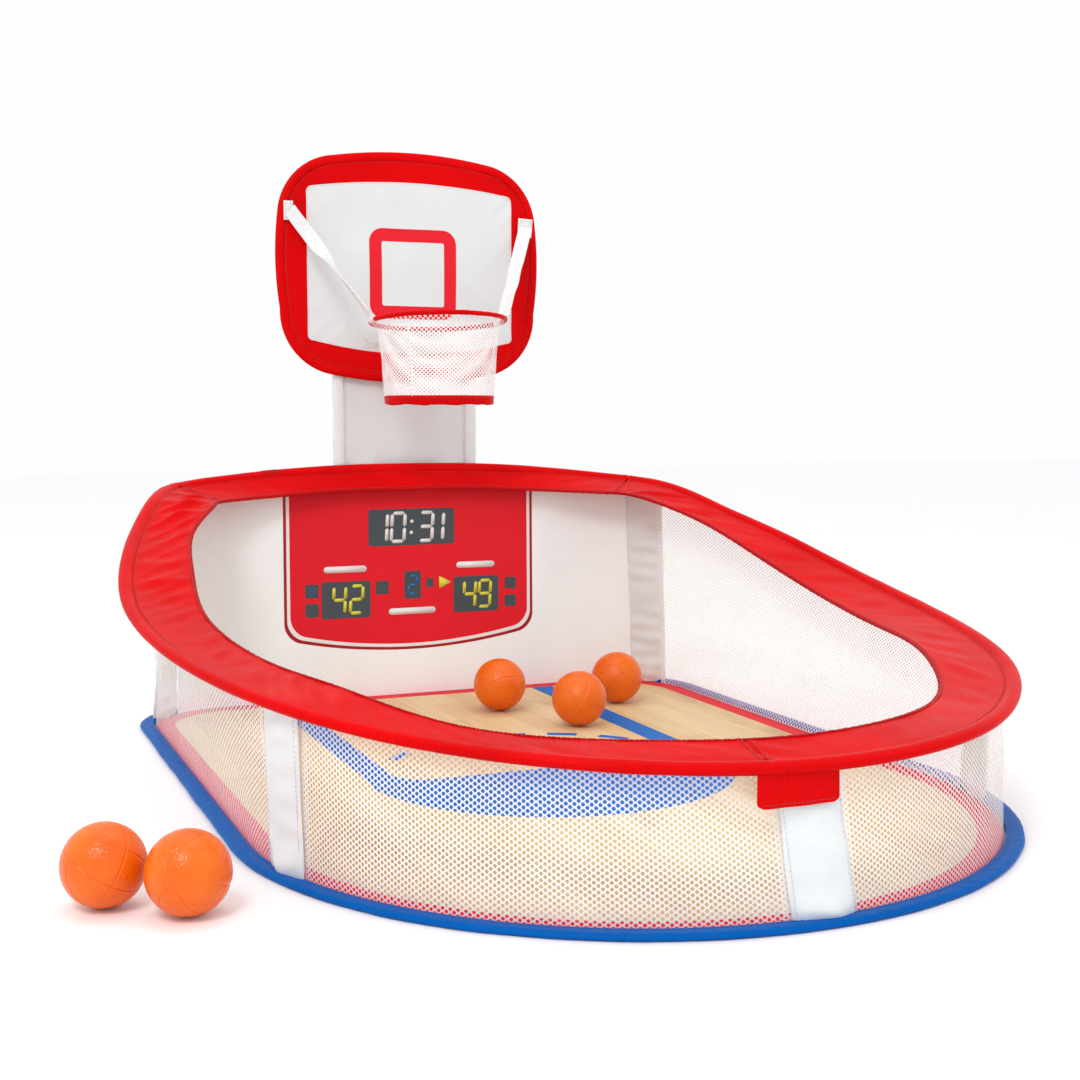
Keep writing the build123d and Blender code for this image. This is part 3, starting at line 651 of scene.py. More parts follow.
def lattice(L, height, a=6.8, b=2.55, r=1.64, wrap=False, selvage=0.0, radius=None):
    """Knitted mesh as flat (x, y) points and faces: diamonds with round holes.
    height(x) is the top of the panel; holes stay inside, and edge cells are solid."""
    n = max(2, int(round(L / a)))
    a = L / n
    top = float(np.max(height(np.linspace(0, L, 200))))
    rows = int(top / b) + 2
    cx, cy = [], []
    for j in range(rows + 1):
        k = np.arange(n if (wrap or j % 2) else n + 1)
        cx.append(k * a + (a / 2 if j % 2 else 0.0))
        cy.append(np.full(len(k), j * b))
    cx, cy = np.concatenate(cx), np.concatenate(cy)
    H = height(np.clip(cx, 0, L))
    use = cy < H + b * 0.9
    cx, cy, H = cx[use], cy[use], H[use]
    solid = (cy < b * 0.5) | (cy > H - b * 1.05)
    if not wrap:
        solid |= (cx < a * 0.4) | (cx > L - a * 0.4)
    off = np.array([(2, 0), (1, 1), (0, 2), (-1, 1), (-2, 0), (-1, -1), (0, -2), (1, -1)])
    gx = np.round(cx / (a / 4)).astype(int)[:, None] + off[:, 0]
    gy = np.round(cy / (b / 2)).astype(int)[:, None] + off[:, 1]
    if wrap:
        gx = gx % (4 * n)
    key = gx * 100000 + gy + 50000
    keys, inv = np.unique(key.ravel(), return_inverse=True)
    inv = inv.reshape(key.shape)
    bx = (keys // 100000) * (a / 4)
    by = (keys % 100000 - 50000) * (b / 2)
    if not wrap:
        bx = np.clip(bx, 0, L)
    by = np.clip(by, 0, None)
    by = np.minimum(by, height(np.clip(bx, 0, L)))
    B = np.stack([bx, by], -1)
    holes = np.where(~solid)[0]
    ang = np.arctan2(off[:, 1] * b / 2, off[:, 0] * a / 4)
    rr = np.full(len(holes), r) if radius is None else radius(cx[holes], cy[holes])
    if selvage:
        near = np.minimum(cx[holes], L - cx[holes])
        rr = np.where(near < selvage, rr * 0.62, rr)
    hx = cx[holes][:, None] + rr[:, None] * np.cos(ang)
    hy = cy[holes][:, None] + rr[:, None] * np.sin(ang) * 1.04
    Hv = np.stack([hx, hy], -1).reshape(-1, 2)
    base = len(B)
    h = base + np.arange(len(holes) * 8).reshape(-1, 8)
    bb = inv[holes]
    quads = np.stack([bb, np.roll(bb, -1, 1), np.roll(h, -1, 1), h], -1).reshape(-1, 4)
    sol = np.where(solid)[0]
    centre = np.stack([cx[sol], np.clip(np.minimum(cy[sol], H[sol]), 0, None)], -1)
    if not wrap:
        centre[:, 0] = np.clip(centre[:, 0], 0, L)
    c0 = base + len(Hv)
    ci = c0 + np.arange(len(sol))
    sb = inv[sol]
    tris = np.stack([np.broadcast_to(ci[:, None], sb.shape), sb, np.roll(sb, -1, 1)], -1).reshape(-1, 3)
    P = np.concatenate([B, Hv, centre])
    p = P[tris]
    d1, d2 = p[:, 1] - p[:, 0], p[:, 2] - p[:, 0]
    if wrap:
        d1[:, 0] = (d1[:, 0] + L / 2) % L - L / 2
        d2[:, 0] = (d2[:, 0] + L / 2) % L - L / 2
    area = d1[:, 0] * d2[:, 1] - d1[:, 1] * d2[:, 0]
    tris = tris[np.abs(area) > 1e-3]
    return P, quads, tris


# ---------------------------------------------------------------------------
# floor: mat, printed lines, blue binding
# ---------------------------------------------------------------------------
def spine(xy):
    """Point on the middle line of the floor that an edge point looks at."""
    return np.stack([xy[..., 0] * 0.0, np.clip(xy[..., 1], -150, 180)], -1)


s_all = np.linspace(0, s_total, 401)[:-1]
edge, _ = plan_point(s_all, -1.0)
mid = spine(edge)
rings = np.linspace(0, 1, 33)
plan = mid[:, None] + (edge - mid)[:, None] * rings[None, :, None]
lie = ripple(3, 9, 90, 260)


def mat_z(x, y):
    return mat_t - 0.12 + 0.10 * lie(x, y)


top = np.concatenate([plan, mat_z(plan[..., 0], plan[..., 1])[..., None]], -1)
bottom = np.concatenate([plan, np.full(plan.shape[:2] + (1,), 0.05)], -1)
V, F, uv = slab(top, bottom, wrap=True)
floor_mat = outward(build("floor_mat_cloth", V, F, M["wood"], "court", ["floor_mat"]))
import bmesh
bm = bmesh.new(); bm.from_mesh(floor_mat.data)
bmesh.ops.remove_doubles(bm, verts=bm.verts, dist=1e-5)
bmesh.ops.dissolve_degenerate(bm, dist=1e-6, edges=bm.edges)
bmesh.ops.recalc_face_normals(bm, faces=bm.faces)
bm.to_mesh(floor_mat.data); bm.free()


def on_mat(P2, lift):
    z = mat_z(P2[..., 0], P2[..., 1]) + lift
    return np.concatenate([P2, z[..., None]], -1)


def print_patch(P2, wrap=False, top_lift=0.22):
    """Thin printed layer over a grid of floor points."""
    return slab(on_mat(P2, top_lift), on_mat(P2, -0.4), wrap)


def mesh_grid(x0, x1, y0, y1, nx, ny):
    return np.stack(np.meshgrid(np.linspace(x0, x1, nx), np.linspace(y0, y1, ny), indexing="ij"), -1)


parts = []
lane_back = rear_y - 1.4 - border_w
for k in (-1, 1):
    g = mesh_grid(lane_x[0], lane_x[1], throw_y, lane_back, 5, 70)
    g[..., 0] *= k
    parts.append(print_patch(g))
    c = np.array([lane_x[0], throw_y])
    arc_c = c + (-38, 38)
    a = np.linspace(0, -math.pi / 2, 13)
    arc = arc_c + 38 * np.stack([np.cos(a), np.sin(a)], -1)
    fan = c + (arc - c)[:, None] * np.linspace(0, 1, 7)[None, :, None]
    fan[:, 0] += (arc - c) * 0.002
    fan[..., 0] *= k
    parts.append(print_patch(fan, top_lift=0.221))
a = np.linspace(math.pi, 2 * math.pi, 97)
rim_arc = np.stack([throw_r * np.cos(a), throw_y + throw_r * np.sin(a)], -1)
chord = np.stack([throw_r * np.cos(a), np.full(97, throw_y)], -1)
disc = chord[:, None] + (rim_arc - chord)[:, None] * np.linspace(0, 1, 25)[None, :, None]
disc = disc[1:-1]
parts.append(print_patch(disc, top_lift=0.22))
for a0, a1 in ((35, 47), (56, 67.5), (76, 88), (133, 145), (112.5, 124), (92, 104)):
    a = np.radians(np.linspace(a0, a1, 13))
    g = np.stack([np.stack([r * np.cos(a), throw_y + r * np.sin(a)], -1) for r in (177, 181, 186, 190)], 1)
    parts.append(print_patch(g))
V, F, uv = join(parts)
outward(build("lane_lines", V, F, M["blue_print"], "court", ["lane_print"], uv))

s_fine = np.linspace(0, s_total, 721)[:-1]
band = np.stack([plan_point(s_fine, -1.2 - w)[0] for w in np.linspace(0, border_w, 7)], 1)
V, F, uv = print_patch(band, True)
outward(build("border_band", V, F, M["red_print"], "court", ["mat_border"], uv))

# binding: a folded tape with a soft round edge, small puckers between stitches
s_b = np.linspace(0, s_total, 1401)[:-1]
prof = np.array([(0.9, 0.25), (4, 0.15), (10, 0.12), (14.5, 0.2), (16.6, 0.9), (17.7, 2.1), (18.0, 3.2), (17.6, 4.5),
                 (16.3, 5.6), (14, 6.2), (11, 6.35), (8, 6.2), (5.6, 5.95), (4.4, 5.7), (3.2, 5.9), (1.9, 6.0),
                 (0.9, 5.6)])
pts = []
pk1, pk2 = ripple(5, 12, 7, 24, 1), ripple(6, 10, 60, 300, 1)
for d, z in prof:
    out = max(0.0, (d - 3) / 15)
    dd = d + out * 0.35 * pk2(s_b) + out * 0.12 * pk1(s_b)
    zz = np.where(z > 3, z + 0.16 * pk1(s_b + d * 1.3) * min(1, out + 0.3), z)
    xy, _ = plan_point(s_b, 0.0)
    nn = plan_point(s_b, 0.0)[1]
    pts.append(np.concatenate([xy + nn * dd[:, None], np.broadcast_to(zz, (len(s_b),))[:, None]], 1))
P = np.stack(pts, 1)
V, F, uv = tube(P, wrap_u=True)
binding = outward(build("base_binding_tape", V, F, M["blue"], "court", ["base_binding"], uv))
line = np.concatenate([plan_point(s_b, 4.4)[0], np.full((len(s_b), 1), 5.75)], 1)
line = np.concatenate([line, line[:1]])
thread("base_stitching", [stitches(line, np.tile([0, 0, 1.0], (len(line), 1)))], M["thread_blue"], "court")

# ---------------------------------------------------------------------------
# waves of the ring's cloth
# ---------------------------------------------------------------------------
wr1 = ripple(51, 10, 26, 80, 2, (1.0, 0.35))
wr2 = ripple(52, 8, 90, 320, 2, (1.0, 0.6))
wr3 = ripple(53, 10, 12, 34, 2, (1.0, 0.5))
t_tab = np.linspace(0, 22, 2201)
o_tab = ring_outer(t_tab)
arc_tab = np.concatenate([[0], np.cumsum(np.linalg.norm(np.diff(o_tab, axis=0), axis=1))])


def ring_arc(t):
    return np.interp(np.asarray(t) % 22, t_tab, arc_tab)


def bump_at(t, centre, half):
    d = (np.asarray(t) - centre + 11) % 22 - 11
    return np.exp(-(d / half) ** 2)


def flange_disp(t, a, w):
    """Height of the flange's cloth above its plane, mm, at place t and distance a inwards."""
    s = ring_arc(t)
    f = np.clip((a - 15) / np.maximum(w - 15, 1), 0, 1)
    fade = np.sin(np.pi * f) ** 0.8
    slack = 0.55 + 1.0 * bump_at(t, 18.9, 1.3) + 0.7 * bump_at(t, 3.1, 1.2) + 0.35 * bump_at(t, 14.8, 1.8) \
        + 0.3 * bump_at(t, 7.5, 1.5)
    skew = s + 0.9 * (a - 15) * np.sign(11 - (t % 22))
    lean = s + 1.7 * (a - 15) * np.sign(11 - (t % 22))
    ridge = lambda q: 1.0 - 1.7 * np.abs(np.sin(q)) ** 0.75
    pull = (ridge(skew / 21.0 + 0.9 * np.sin(s / 47.0)) * 0.9 + ridge(lean / 12.5 + 1.4 * np.sin(s / 83.0)) * 0.75) \
        * (1.9 * bump_at(t, 18.6, 0.95) + 0.8 * bump_at(t, 3.2, 0.8) + 0.9 * bump_at(t, 15.7, 1.5)
           + 0.22 * bump_at(t, 13.0, 1.2))
    fine = wr3(skew, a) * 0.22
    return fade * (slack * (0.9 * wr1(skew, a) + 1.1 * wr2(s, a)) + 1.7 * pull + fine) + 0.05 * wr3(s, a * 2)


# ---------------------------------------------------------------------------
# walls
# ---------------------------------------------------------------------------
s_rear_pole = s_corner + corner_r * math.pi / 2 * 0.58
s_side_pole = s_nose + half_width * math.asin(100.0 / half_width)
t_rear = ring_place(s_rear_pole, 1.5, 4.0)
t_side = ring_place(s_side_pole, 6.5, 9.0)
front_lean = 0.1
places = {"rear_right": (s_rear_pole, t_rear), "right": (s_side_pole, t_side), "front": (s_front, 11.0 + front_lean),
          "left": (s_total - s_side_pole, 22 - t_side), "rear_left": (s_total - s_rear_pole, 22 - t_rear)}
gap = 25.6


def panel_frame(a, b, count=160):
    """Feet, tops and outward normals along a panel between two sleeve places."""
    (sa, ta), (sb, tb) = a, b
    t0, t1 = step_top(ta, gap), step_top(tb, -gap)
    s0, s1 = sa + gap, sb - gap
    turn = s_total if s0 < 0 else 0.0

    def on(t):
        s = nearest_s(wall_top(t))
        return s - turn if turn and s > s_front else s

    c0, c1 = s0 - on(t0), s1 - on(t1)
    f = np.linspace(0, 1, count)
    t = t0 + (t1 - t0) * f
    s = np.array([on(q) for q in t]) + c0 * (1 - f) ** 3 + c1 * f**3
    xy, n = plan_point(s, -1.5)
    low = np.concatenate([xy, np.full((count, 1), 2.0)], 1)
    o, i, e, u = ring_frame(t)
    top = wall_top(t, 1.9) + u * np.minimum(0.0, flange_disp(t, np.full(count, 20.0), np.linalg.norm(i - o, axis=1)))[:, None]
    n3 = np.concatenate([n, np.zeros((count, 1))], 1)
    return low, top, n3


def panel_map(a, b, seed, bulge=5.0, soft=1.6):
    """Mapping from (distance along, height) to points, with the panel's length and its height along it."""
    low, top, n = panel_frame(a, b)
    middle = (low + top) / 2
    d = np.concatenate([[0], np.cumsum(np.linalg.norm(np.diff(middle, axis=0), axis=1))])
    L = d[-1]
    H = np.linalg.norm(top - low, axis=1)
    wob = ripple(seed, 8, 60, 260)

    def at(x, y, lift=0.0):
        c = lambda A: np.stack([np.interp(x, d, A[:, j]) for j in range(3)], -1)
        lo, tp, nn = c(low), c(top), unit(c(n))
        h = np.interp(x, d, H)
        f = np.clip(y / h, 0, 1)
        fade = np.sin(np.pi * np.clip(x / L, 0, 1)) ** 0.5 * np.sin(np.pi * f) ** 0.8
        push = fade * (bulge + soft * wob(x, y)) * 0.6
        return lo + (tp - lo) * f[..., None] + nn * (push + lift)[..., None]

    return at, L, lambda x: np.interp(x, d, H)


mesh_panels = {"side_mesh_right": ("rear_right", "right", 21, 4.0), "front_mesh_right": ("right", "front", 22, 2.0),
               "front_mesh_left": ("front", "left", 23, 2.0), "side_mesh_left": ("left", "rear_left", 24, 4.0)}
wall_objects = {}
for name, (pa, pb, seed, bulge) in mesh_panels.items():
    at, L, H = panel_map(places[pa], places[pb], seed, bulge)
    P2, quads, tris = lattice(L, H, selvage=9.0)
    V = at(P2[:, 0], P2[:, 1])
    ob = build(name + "_net", V, [quads, tris], M["knit"], "court", [name])
    area = float(H(np.linspace(0, L, 400)).mean() * L) * 1e-6
    h_max = float(H(np.linspace(0, L, 400)).max()) * 0.001
    wall_objects[name] = (at, L, H)

# solid rear wall with soft upright folds
rl_s, rl_t = places["rear_left"]
low, top, n3 = panel_frame((rl_s - s_total, rl_t - 22), places["rear_right"], 260)
fold_a = ripple(31, 9, 55, 190, 2, (1.0, 0.28))
fold_b = ripple(32, 7, 120, 400, 2, (1.0, 0.4))
H = np.linalg.norm(top - low, axis=1)


def wall_disp(x, z):
    """How far the rear wall's cloth lies behind its plane, mm."""
    edge_fade = smooth((300 - np.abs(x)) / 60) * 0.7 + 0.3
    band = np.sin(np.pi * np.clip((z - 8) / 310, 0, 1)) ** 0.7
    calm = 1 - 0.65 * smooth((215 - np.abs(x)) / 40)
    return band * edge_fade * calm * (1.5 * fold_a(x, z) + 2.2 * fold_b(x, z))


v = np.linspace(0, 1, 64)
P = low[:, None] + (top - low)[:, None] * v[None, :, None]
P = P + n3[:, None] * wall_disp(P[..., 0], P[..., 2])[..., None]
inner = P - n3[:, None] * 0.6
outer = P + n3[:, None] * 0.6
V, F, uv = slab(inner, outer)
back = outward(build("back_wall_cloth", V, F, M["white"], "court", ["back_wall"], uv))

# pole sleeves: pillowy pockets, creased, rounded at the foot
for place, (s, t) in places.items():
    base, n = plan_point(s, wall_off)
    tp = wall_top(t, 3.4)
    foot = np.array([base[0], base[1], 2.3])
    nn = np.array([n[0], n[1], 0.0])
    along = np.array([-n[1], n[0], 0.0])
    if place == "front":
        along = np.array([1.0, 0, 0])
    h = np.linalg.norm(tp - foot)
    rows = max(30, int(h / 3))
    v = np.linspace(0, 1, rows)
    a = np.linspace(0, 2 * math.pi, 49)[:-1]
    seed = {"rear_right": 41, "right": 42, "front": 43, "left": 44, "rear_left": 45}[place]
    cr = ripple(seed, 8, 18, 70, 2, (0.5, 1.0))
    cr2 = ripple(seed + 10, 6, 40, 120, 2, (1.0, 0.5))
    Y = v * h
    edge_in = np.where(Y < 4, 29.5 - 4 + np.sqrt(np.maximum(0, 16 - (4 - Y) ** 2)), 29.5)
    wob = 1 + 0.02 * np.sin(Y / 17.0 + seed)
    X = np.sign(np.cos(a)) * np.abs(np.cos(a)) ** 0.8
    B = np.sign(np.sin(a)) * np.abs(np.sin(a)) ** 1.25
    x = edge_in[:, None] * wob[:, None] * X[None, :]
    pole_bulge = 1.0 + 0.25 * np.exp(-(x / 8.0) ** 2)
    thick = 5.2 * pole_bulge * (0.55 + 0.45 * smooth(Y / 14.0))[:, None]
    flare = 3.2 * np.exp(-((Y - 9) / 16.0) ** 2)[:, None] * np.maximum(0, B)[None, :]
    y = thick * B[None, :] + 1.5 * cr(x, Y[:, None] + 0 * x) * np.abs(B) + 0.7 * cr2(x, Y[:, None] + 0 * x) + flare
    crease = 1 - 1.7 * np.abs(np.sin(x / 13.0 + Y[:, None] / 19.0 + seed)) ** 0.7
    crease2 = 1 - 1.7 * np.abs(np.sin(-x / 17.0 + Y[:, None] / 15.0 + seed * 2.3)) ** 0.7
    y = y + (1.5 * np.exp(-(Y / 42.0) ** 2)[:, None] * crease + 0.9 * np.exp(-((h - Y) / 50.0) ** 2)[:, None] * crease2) * B
    # the cloth stays clear of the pole inside, which stands upright where the front sleeve leans
    px = (15.4 * v if place == "front" else 0 * v)[:, None]
    room = 5.3 * np.sqrt(np.maximum(0, 1 - ((x - px) / 9.5) ** 2))
    y = np.where(B > 0, np.maximum(y, room * np.minimum(1, 3 * B)), np.minimum(y, room * np.maximum(-1, 3 * B)))
    P = (foot + (tp - foot) * v[:, None])[:, None] + along * x[..., None] + nn * y[..., None]
    V, F, uv = tube(P)
    ob = outward(build(f"pole_sleeve_{place}_cloth", V, F, M["white_shaded_sleeve"], "court",
                       [f"pole_sleeve_{place}"], uv))
    rows_t = []
    for k in (-1, 1):
        c = (foot + (tp - foot) * np.linspace(0.06, 0.97, 60)[:, None]) + along * (k * 26.6) + nn * 2.6
        rows_t.append(stitches(c, np.tile(nn, (60, 1))))
        c = (foot + (tp - foot) * np.linspace(0.06, 0.97, 60)[:, None]) + along * (k * 26.6) - nn * 2.6
        rows_t.append(stitches(c, np.tile(-nn, (60, 1))))
    thread(f"sleeve_stitching_{place}", rows_t, M["thread_white"], "court")

# ---------------------------------------------------------------------------
# printed scoreboard, conformal to the rear wall
# ---------------------------------------------------------------------------
wall_low, wall_high = low.copy(), top.copy()


def on_wall(x, z, lift):
    """Points on the inner face of the rear wall, lifted towards the front."""
    order = np.argsort(wall_low[:, 0])
    hx, hy, hz = wall_high[order].T
    ty, tz = np.interp(x, hx, hy), np.interp(x, hx, hz)
    y0 = rear_y - 1.5
    mid_y = y0 + (ty - y0) * (z - 2.0) / (tz - 2.0)
    return np.stack([x, mid_y + wall_disp(x, z) - 0.6 - lift, z], -1)


def board_low(x):
    """Lower edge of the scoreboard print."""
    r = (185.0**2 + 22.0**2) / (2 * 22.0)
    zc = 66 + r
    z = zc - np.sqrt(np.maximum(0, r * r - x * x))
    c = np.maximum(0, np.abs(x) - 163) / 22.0
    return z + 22 * (1 - np.sqrt(np.maximum(0, 1 - c * c)))


def wall_patch(X, Z, lift, under=0.25):
    return slab(on_wall(X, Z, lift), on_wall(X, Z, lift - under))


def inset_patch(inset, lift, nx=90, nz=50):
    half = 185.0 - inset
    x = half * np.sin(np.linspace(-math.pi / 2, math.pi / 2, nx))
    k = (185.0 / half)
    lowz = board_low(x * k) + inset
    topz = 296.0
    f = np.linspace(0, 1, nz)
    X = np.broadcast_to(x[:, None], (nx, nz)).copy()
    Z = lowz[:, None] + (topz - lowz)[:, None] * f
    return wall_patch(X, Z, lift, 0.35)


for nm, inset, lift, mt, slot, rep in (("scoreboard_edge", 0.0, 0.25, "dark_red", "red_print", ["scoreboard_panel"]),
                                       ("scoreboard_line", 4.0, 0.34, "white_print", "red_print", []),
                                       ("scoreboard_field", 8.5, 0.43, "red_print", "red_print", [])):
    V, F, uv = inset_patch(inset, lift)
    outward(build(nm, V, F, M[mt], "court", rep, uv))


def rounded_patch(cx, cz, w, h, r, lift, nx=28, nz=16, under=0.3):
    z = h / 2 * np.sin(np.linspace(-math.pi / 2, math.pi / 2, nz))
    q = np.maximum(0, np.abs(z) - (h / 2 - r))
    hx = w / 2 - r + np.sqrt(np.maximum(0, r * r - q * q))
    u = np.linspace(-1, 1, nx)
    X = cx + u[:, None] * hx[None, :]
    Z = np.broadcast_to(cz + z[None, :], X.shape)
    return wall_patch(X, Z.copy(), lift, under)


windows = [rounded_patch(0, 241, 128, 52, 4, 0.55), rounded_patch(-97, 141, 71, 52, 4, 0.55),
           rounded_patch(97, 141, 69, 52, 4, 0.55), rounded_patch(1, 158, 25, 40, 3, 0.55)]
small = [(-146, 155, 19, 19), (-146, 128, 19, 19), (-44, 156, 19, 19), (27, 160, 11, 13), (150, 155, 18, 17),
         (150, 129, 18, 17)]
windows += [rounded_patch(x, z, w, h, 1.5, 0.55, 8, 8) for x, z, w, h in small]
V, F, uv = join(windows)
outward(build("scoreboard_windows", V, F, M["grey_print"], "court", ["scoreboard_displays"], uv))

segments = {"0": "abcdef", "1": "bc", "2": "abged", "3": "abgcd", "4": "fgbc", "9": "abcdfg", "8": "abcdefg"}


def digit(char, cx, cz, w, h, t, slant=0.06):
    """Bars of one seven-segment digit as (x, z) polygons."""
    x0, x1, z0, z1, zm = cx - w / 2, cx + w / 2, cz - h / 2, cz + h / 2, cz
    ends = {"a": ((x0, z1), (x1, z1)), "b": ((x1, z1), (x1, zm)), "c": ((x1, zm), (x1, z0)), "d": ((x0, z0), (x1, z0)),
            "e": ((x0, zm), (x0, z0)), "f": ((x0, z1), (x0, zm)), "g": ((x0, zm), (x1, zm))}
    out = []
    for s in segments[char]:
        p, q = np.array(ends[s][0]), np.array(ends[s][1])
        d = unit(q - p)
        m = np.array([-d[1], d[0]])
        p, q = p + d * 0.6, q - d * 0.6
        poly = np.array([p, p + d * t / 2 + m * t / 2, q - d * t / 2 + m * t / 2, q,
                         q - d * t / 2 - m * t / 2, p + d * t / 2 - m * t / 2])
        poly[:, 0] += (poly[:, 1] - cz) * slant
        out.append(poly)
    return out


def polys(name, shapes, lift, material):
    """Flat printed shapes laid on the rear wall, each a thin solid."""
    V, faces, n = [], {}, 0
    for poly in shapes:
        k = len(poly)
        f = on_wall(poly[:, 0], poly[:, 1], lift)
        b = on_wall(poly[:, 0], poly[:, 1], lift - 0.3)
        V += [f, b]
        i = np.arange(k)
        faces.setdefault(k, []).append((n + i)[None])
        faces[k].append((n + k + i[::-1])[None])
        side = np.stack([n + i, n + (i + 1) % k, n + k + (i + 1) % k, n + k + i], -1)
        faces.setdefault(4, []).append(side)
        n += 2 * k
    groups = [np.concatenate(g) for g in faces.values()]
    V = np.concatenate(V)
    return outward(build(name, V, groups, material, "court", uv=V[:, [0, 2]], smooth_shade=False))


def disc_poly(cx, cz, r, k=12):
    a = np.arange(k) * 2 * math.pi / k
    return np.stack([cx + r * np.cos(a), cz + r * np.sin(a)], -1)


clock = digit("1", -44, 241, 15, 40, 5.0) + digit("0", -20, 241, 19, 40, 5.0) + digit("3", 22, 241, 19, 40, 5.0) \
    + digit("1", 40, 241, 15, 40, 5.0) + [disc_poly(0.5, 249, 2.6), disc_poly(-0.5, 233, 2.6)]
polys("clock_digits", clock, 0.9, M["white_print"])
score = digit("4", -107, 141, 17, 38, 4.6) + digit("2", -82, 141, 17, 38, 4.6) \
    + digit("4", 87, 141, 17, 38, 4.6) + digit("9", 110, 141, 17, 38, 4.6) \
    + [np.array([(41, 169), (41, 151), (59, 160)])]
polys("score_digits", score, 0.9, M["yellow_print"])
polys("period_digit", digit("2", 1, 158, 12, 25, 3.2) + digit("8", -146, 155, 7, 11, 1.8, 0.0), 0.9, M["navy_print"])


def bar(cx, cz, w, h):
    r = h / 2
    a = np.linspace(-math.pi / 2, math.pi / 2, 7)
    right = np.stack([cx + w / 2 - r + r * np.cos(a), cz + r * np.sin(a)], -1)
    left = np.stack([cx - w / 2 + r - r * np.cos(a), cz - r * np.sin(a)], -1)
    return np.concatenate([right, left])


polys("label_bars", [bar(-98, 184, 62, 9), bar(96, 184, 58, 9), bar(0, 121, 70, 9)], 0.95, M["white_print"])

# ---------------------------------------------------------------------------
# top ring
# ---------------------------------------------------------------------------
def flange_piece(name, a, b, node):
    t = np.linspace(a, b, max(60, int((b - a) * 26)))
    o, i, e, u = ring_frame(t)
    w = np.linalg.norm(i - o, axis=1)
    th = np.radians(np.linspace(318, 42, 25))
    ta = 8.0 + 8.0 * np.cos(th)
    tb = 5.4 * np.sin(th)
    rows_a, rows_b = [], []
    s = ring_arc(t)
    swell = 1 + 0.018 * ripple(61, 7, 40, 160, 1)(s)
    for x, y in zip(ta, tb):
        rows_a.append(8 + (x - 8) * (1 + 0.3 * (swell - 1)))
        rows_b.append(y * swell + 0.04 * wr3(s, np.full_like(s, y * 6)))
    # the profile goes: under the flange outwards, round the sleeve, and back inwards on top
    fr = np.linspace(0, 1, 24)
    under_a = [16.4 + (w - 2.2 - 16.4) * f for f in fr[::-1]]
    under_b = [-1.2 + flange_disp(t, aa, w) for aa in under_a]
    over_a = [16.4 + (w - 2.2 - 16.4) * f for f in fr]
    over_b = [1.2 + flange_disp(t, aa, w) for aa in over_a]
    over_b[0] = over_b[0] - 0.25
    under_b[-1] = under_b[-1] + 0.25
    A = np.stack(under_a + rows_a[::-1][::-1] + over_a, 1)
    B = np.stack(under_b + rows_b + over_b, 1)
    # a raised fell at both ends, where the pieces are sewn to each other
    end = np.minimum(ring_arc(np.full_like(t, 0)) * 0 + np.abs(s - s[0]), 1e9)
    d0 = np.concatenate([[0], np.cumsum(np.linalg.norm(np.diff(o, axis=0), axis=1))])
    near = np.minimum(d0, d0[-1] - d0)
    lip = 0.9 * np.exp(-((near - 3.0) / 3.0) ** 2) - 0.9 * np.exp(-(near / 1.3) ** 2)
    share = np.concatenate([np.full(24, -0.4), np.sin(th) * 0.9, np.ones(24)])
    B = B + lip[:, None] * share[None, :]
    P = o[:, None] + e[:, None] * A[..., None] + u[:, None] * B[..., None]
    V, F, uv = tube(P)
    ob = outward(build(name, V, F, M["red"], "court", [node], uv))
    return t, o, e, u, w


thread_rows = []
for name, a, b, node in (("flange_back_cloth", seam_rear_left - 22, seam_rear_right, "flange_back"),
                         ("flange_right_cloth", seam_rear_right, seam_front, "flange_right"),
                         ("flange_left_cloth", seam_front, seam_rear_left, "flange_left")):
    t, o, e, u, w = flange_piece(name, a, b, node)
    for off in (17.6,):
        aa = np.full_like(t, off)
        h = 1.25 + flange_disp(t, aa, w)
        thread_rows.append(stitches(o + e * off + u * h[:, None], u))
        thread_rows.append(stitches(o + e * off - u * (1.25 - flange_disp(t, aa, w))[:, None], -u))
for place in (seam_rear_left, seam_rear_right, seam_front):
    for dt in (-1, 1):
        o, i, e, u = ring_frame(np.array([place]))
        w = np.linalg.norm(i - o)
        speed = np.linalg.norm(ring_outer(place + 0.01) - ring_outer(place - 0.01)) / 0.02
        tt = np.array([place + dt * 4.0 / speed])
        o, i, e, u = ring_frame(tt)
        aa = np.linspace(18.5, w - 4, 30)
        h = 1.3 + flange_disp(np.full(30, tt[0]), aa, np.full(30, w)) + 0.75
        thread_rows.append(stitches(o + e * aa[:, None] + u * h[:, None], np.tile(u, (30, 1))))
thread("flange_stitching", thread_rows, M["thread_red"], "court")

# bound inner edge: a folded strip, slightly puckered
t = np.linspace(0, 22, 1101)[:-1]
o, i, e, u = ring_frame(t)
w = np.linalg.norm(i - o, axis=1)
s = ring_arc(t)
pk = ripple(66, 10, 8, 30, 1)(s)
prof = np.array([(-3.4, -1.7), (-2.2, -2.0), (-0.4, -2.0), (1.0, -1.4), (1.7, 0.0), (1.0, 1.4), (-0.4, 2.0),
                 (-2.2, 2.0), (-3.4, 1.7)])
P = np.stack([o + e * (w + a + 0.25 * pk)[:, None] + u * (b * (1 + 0.08 * pk))[:, None] for a, b in prof], 1)
V, F, uv = tube(P, wrap_u=True)
outward(build("flange_edge_tape", V, F, M["red_edge"], "court", ["flange_binding"], uv))
line = o + e * (w - 2.4)[:, None] + u * 2.05
line = np.concatenate([line, line[:1]])
thread("edge_tape_stitching", [stitches(line, np.concatenate([u, u[:1]]))], M["thread_red"], "court")
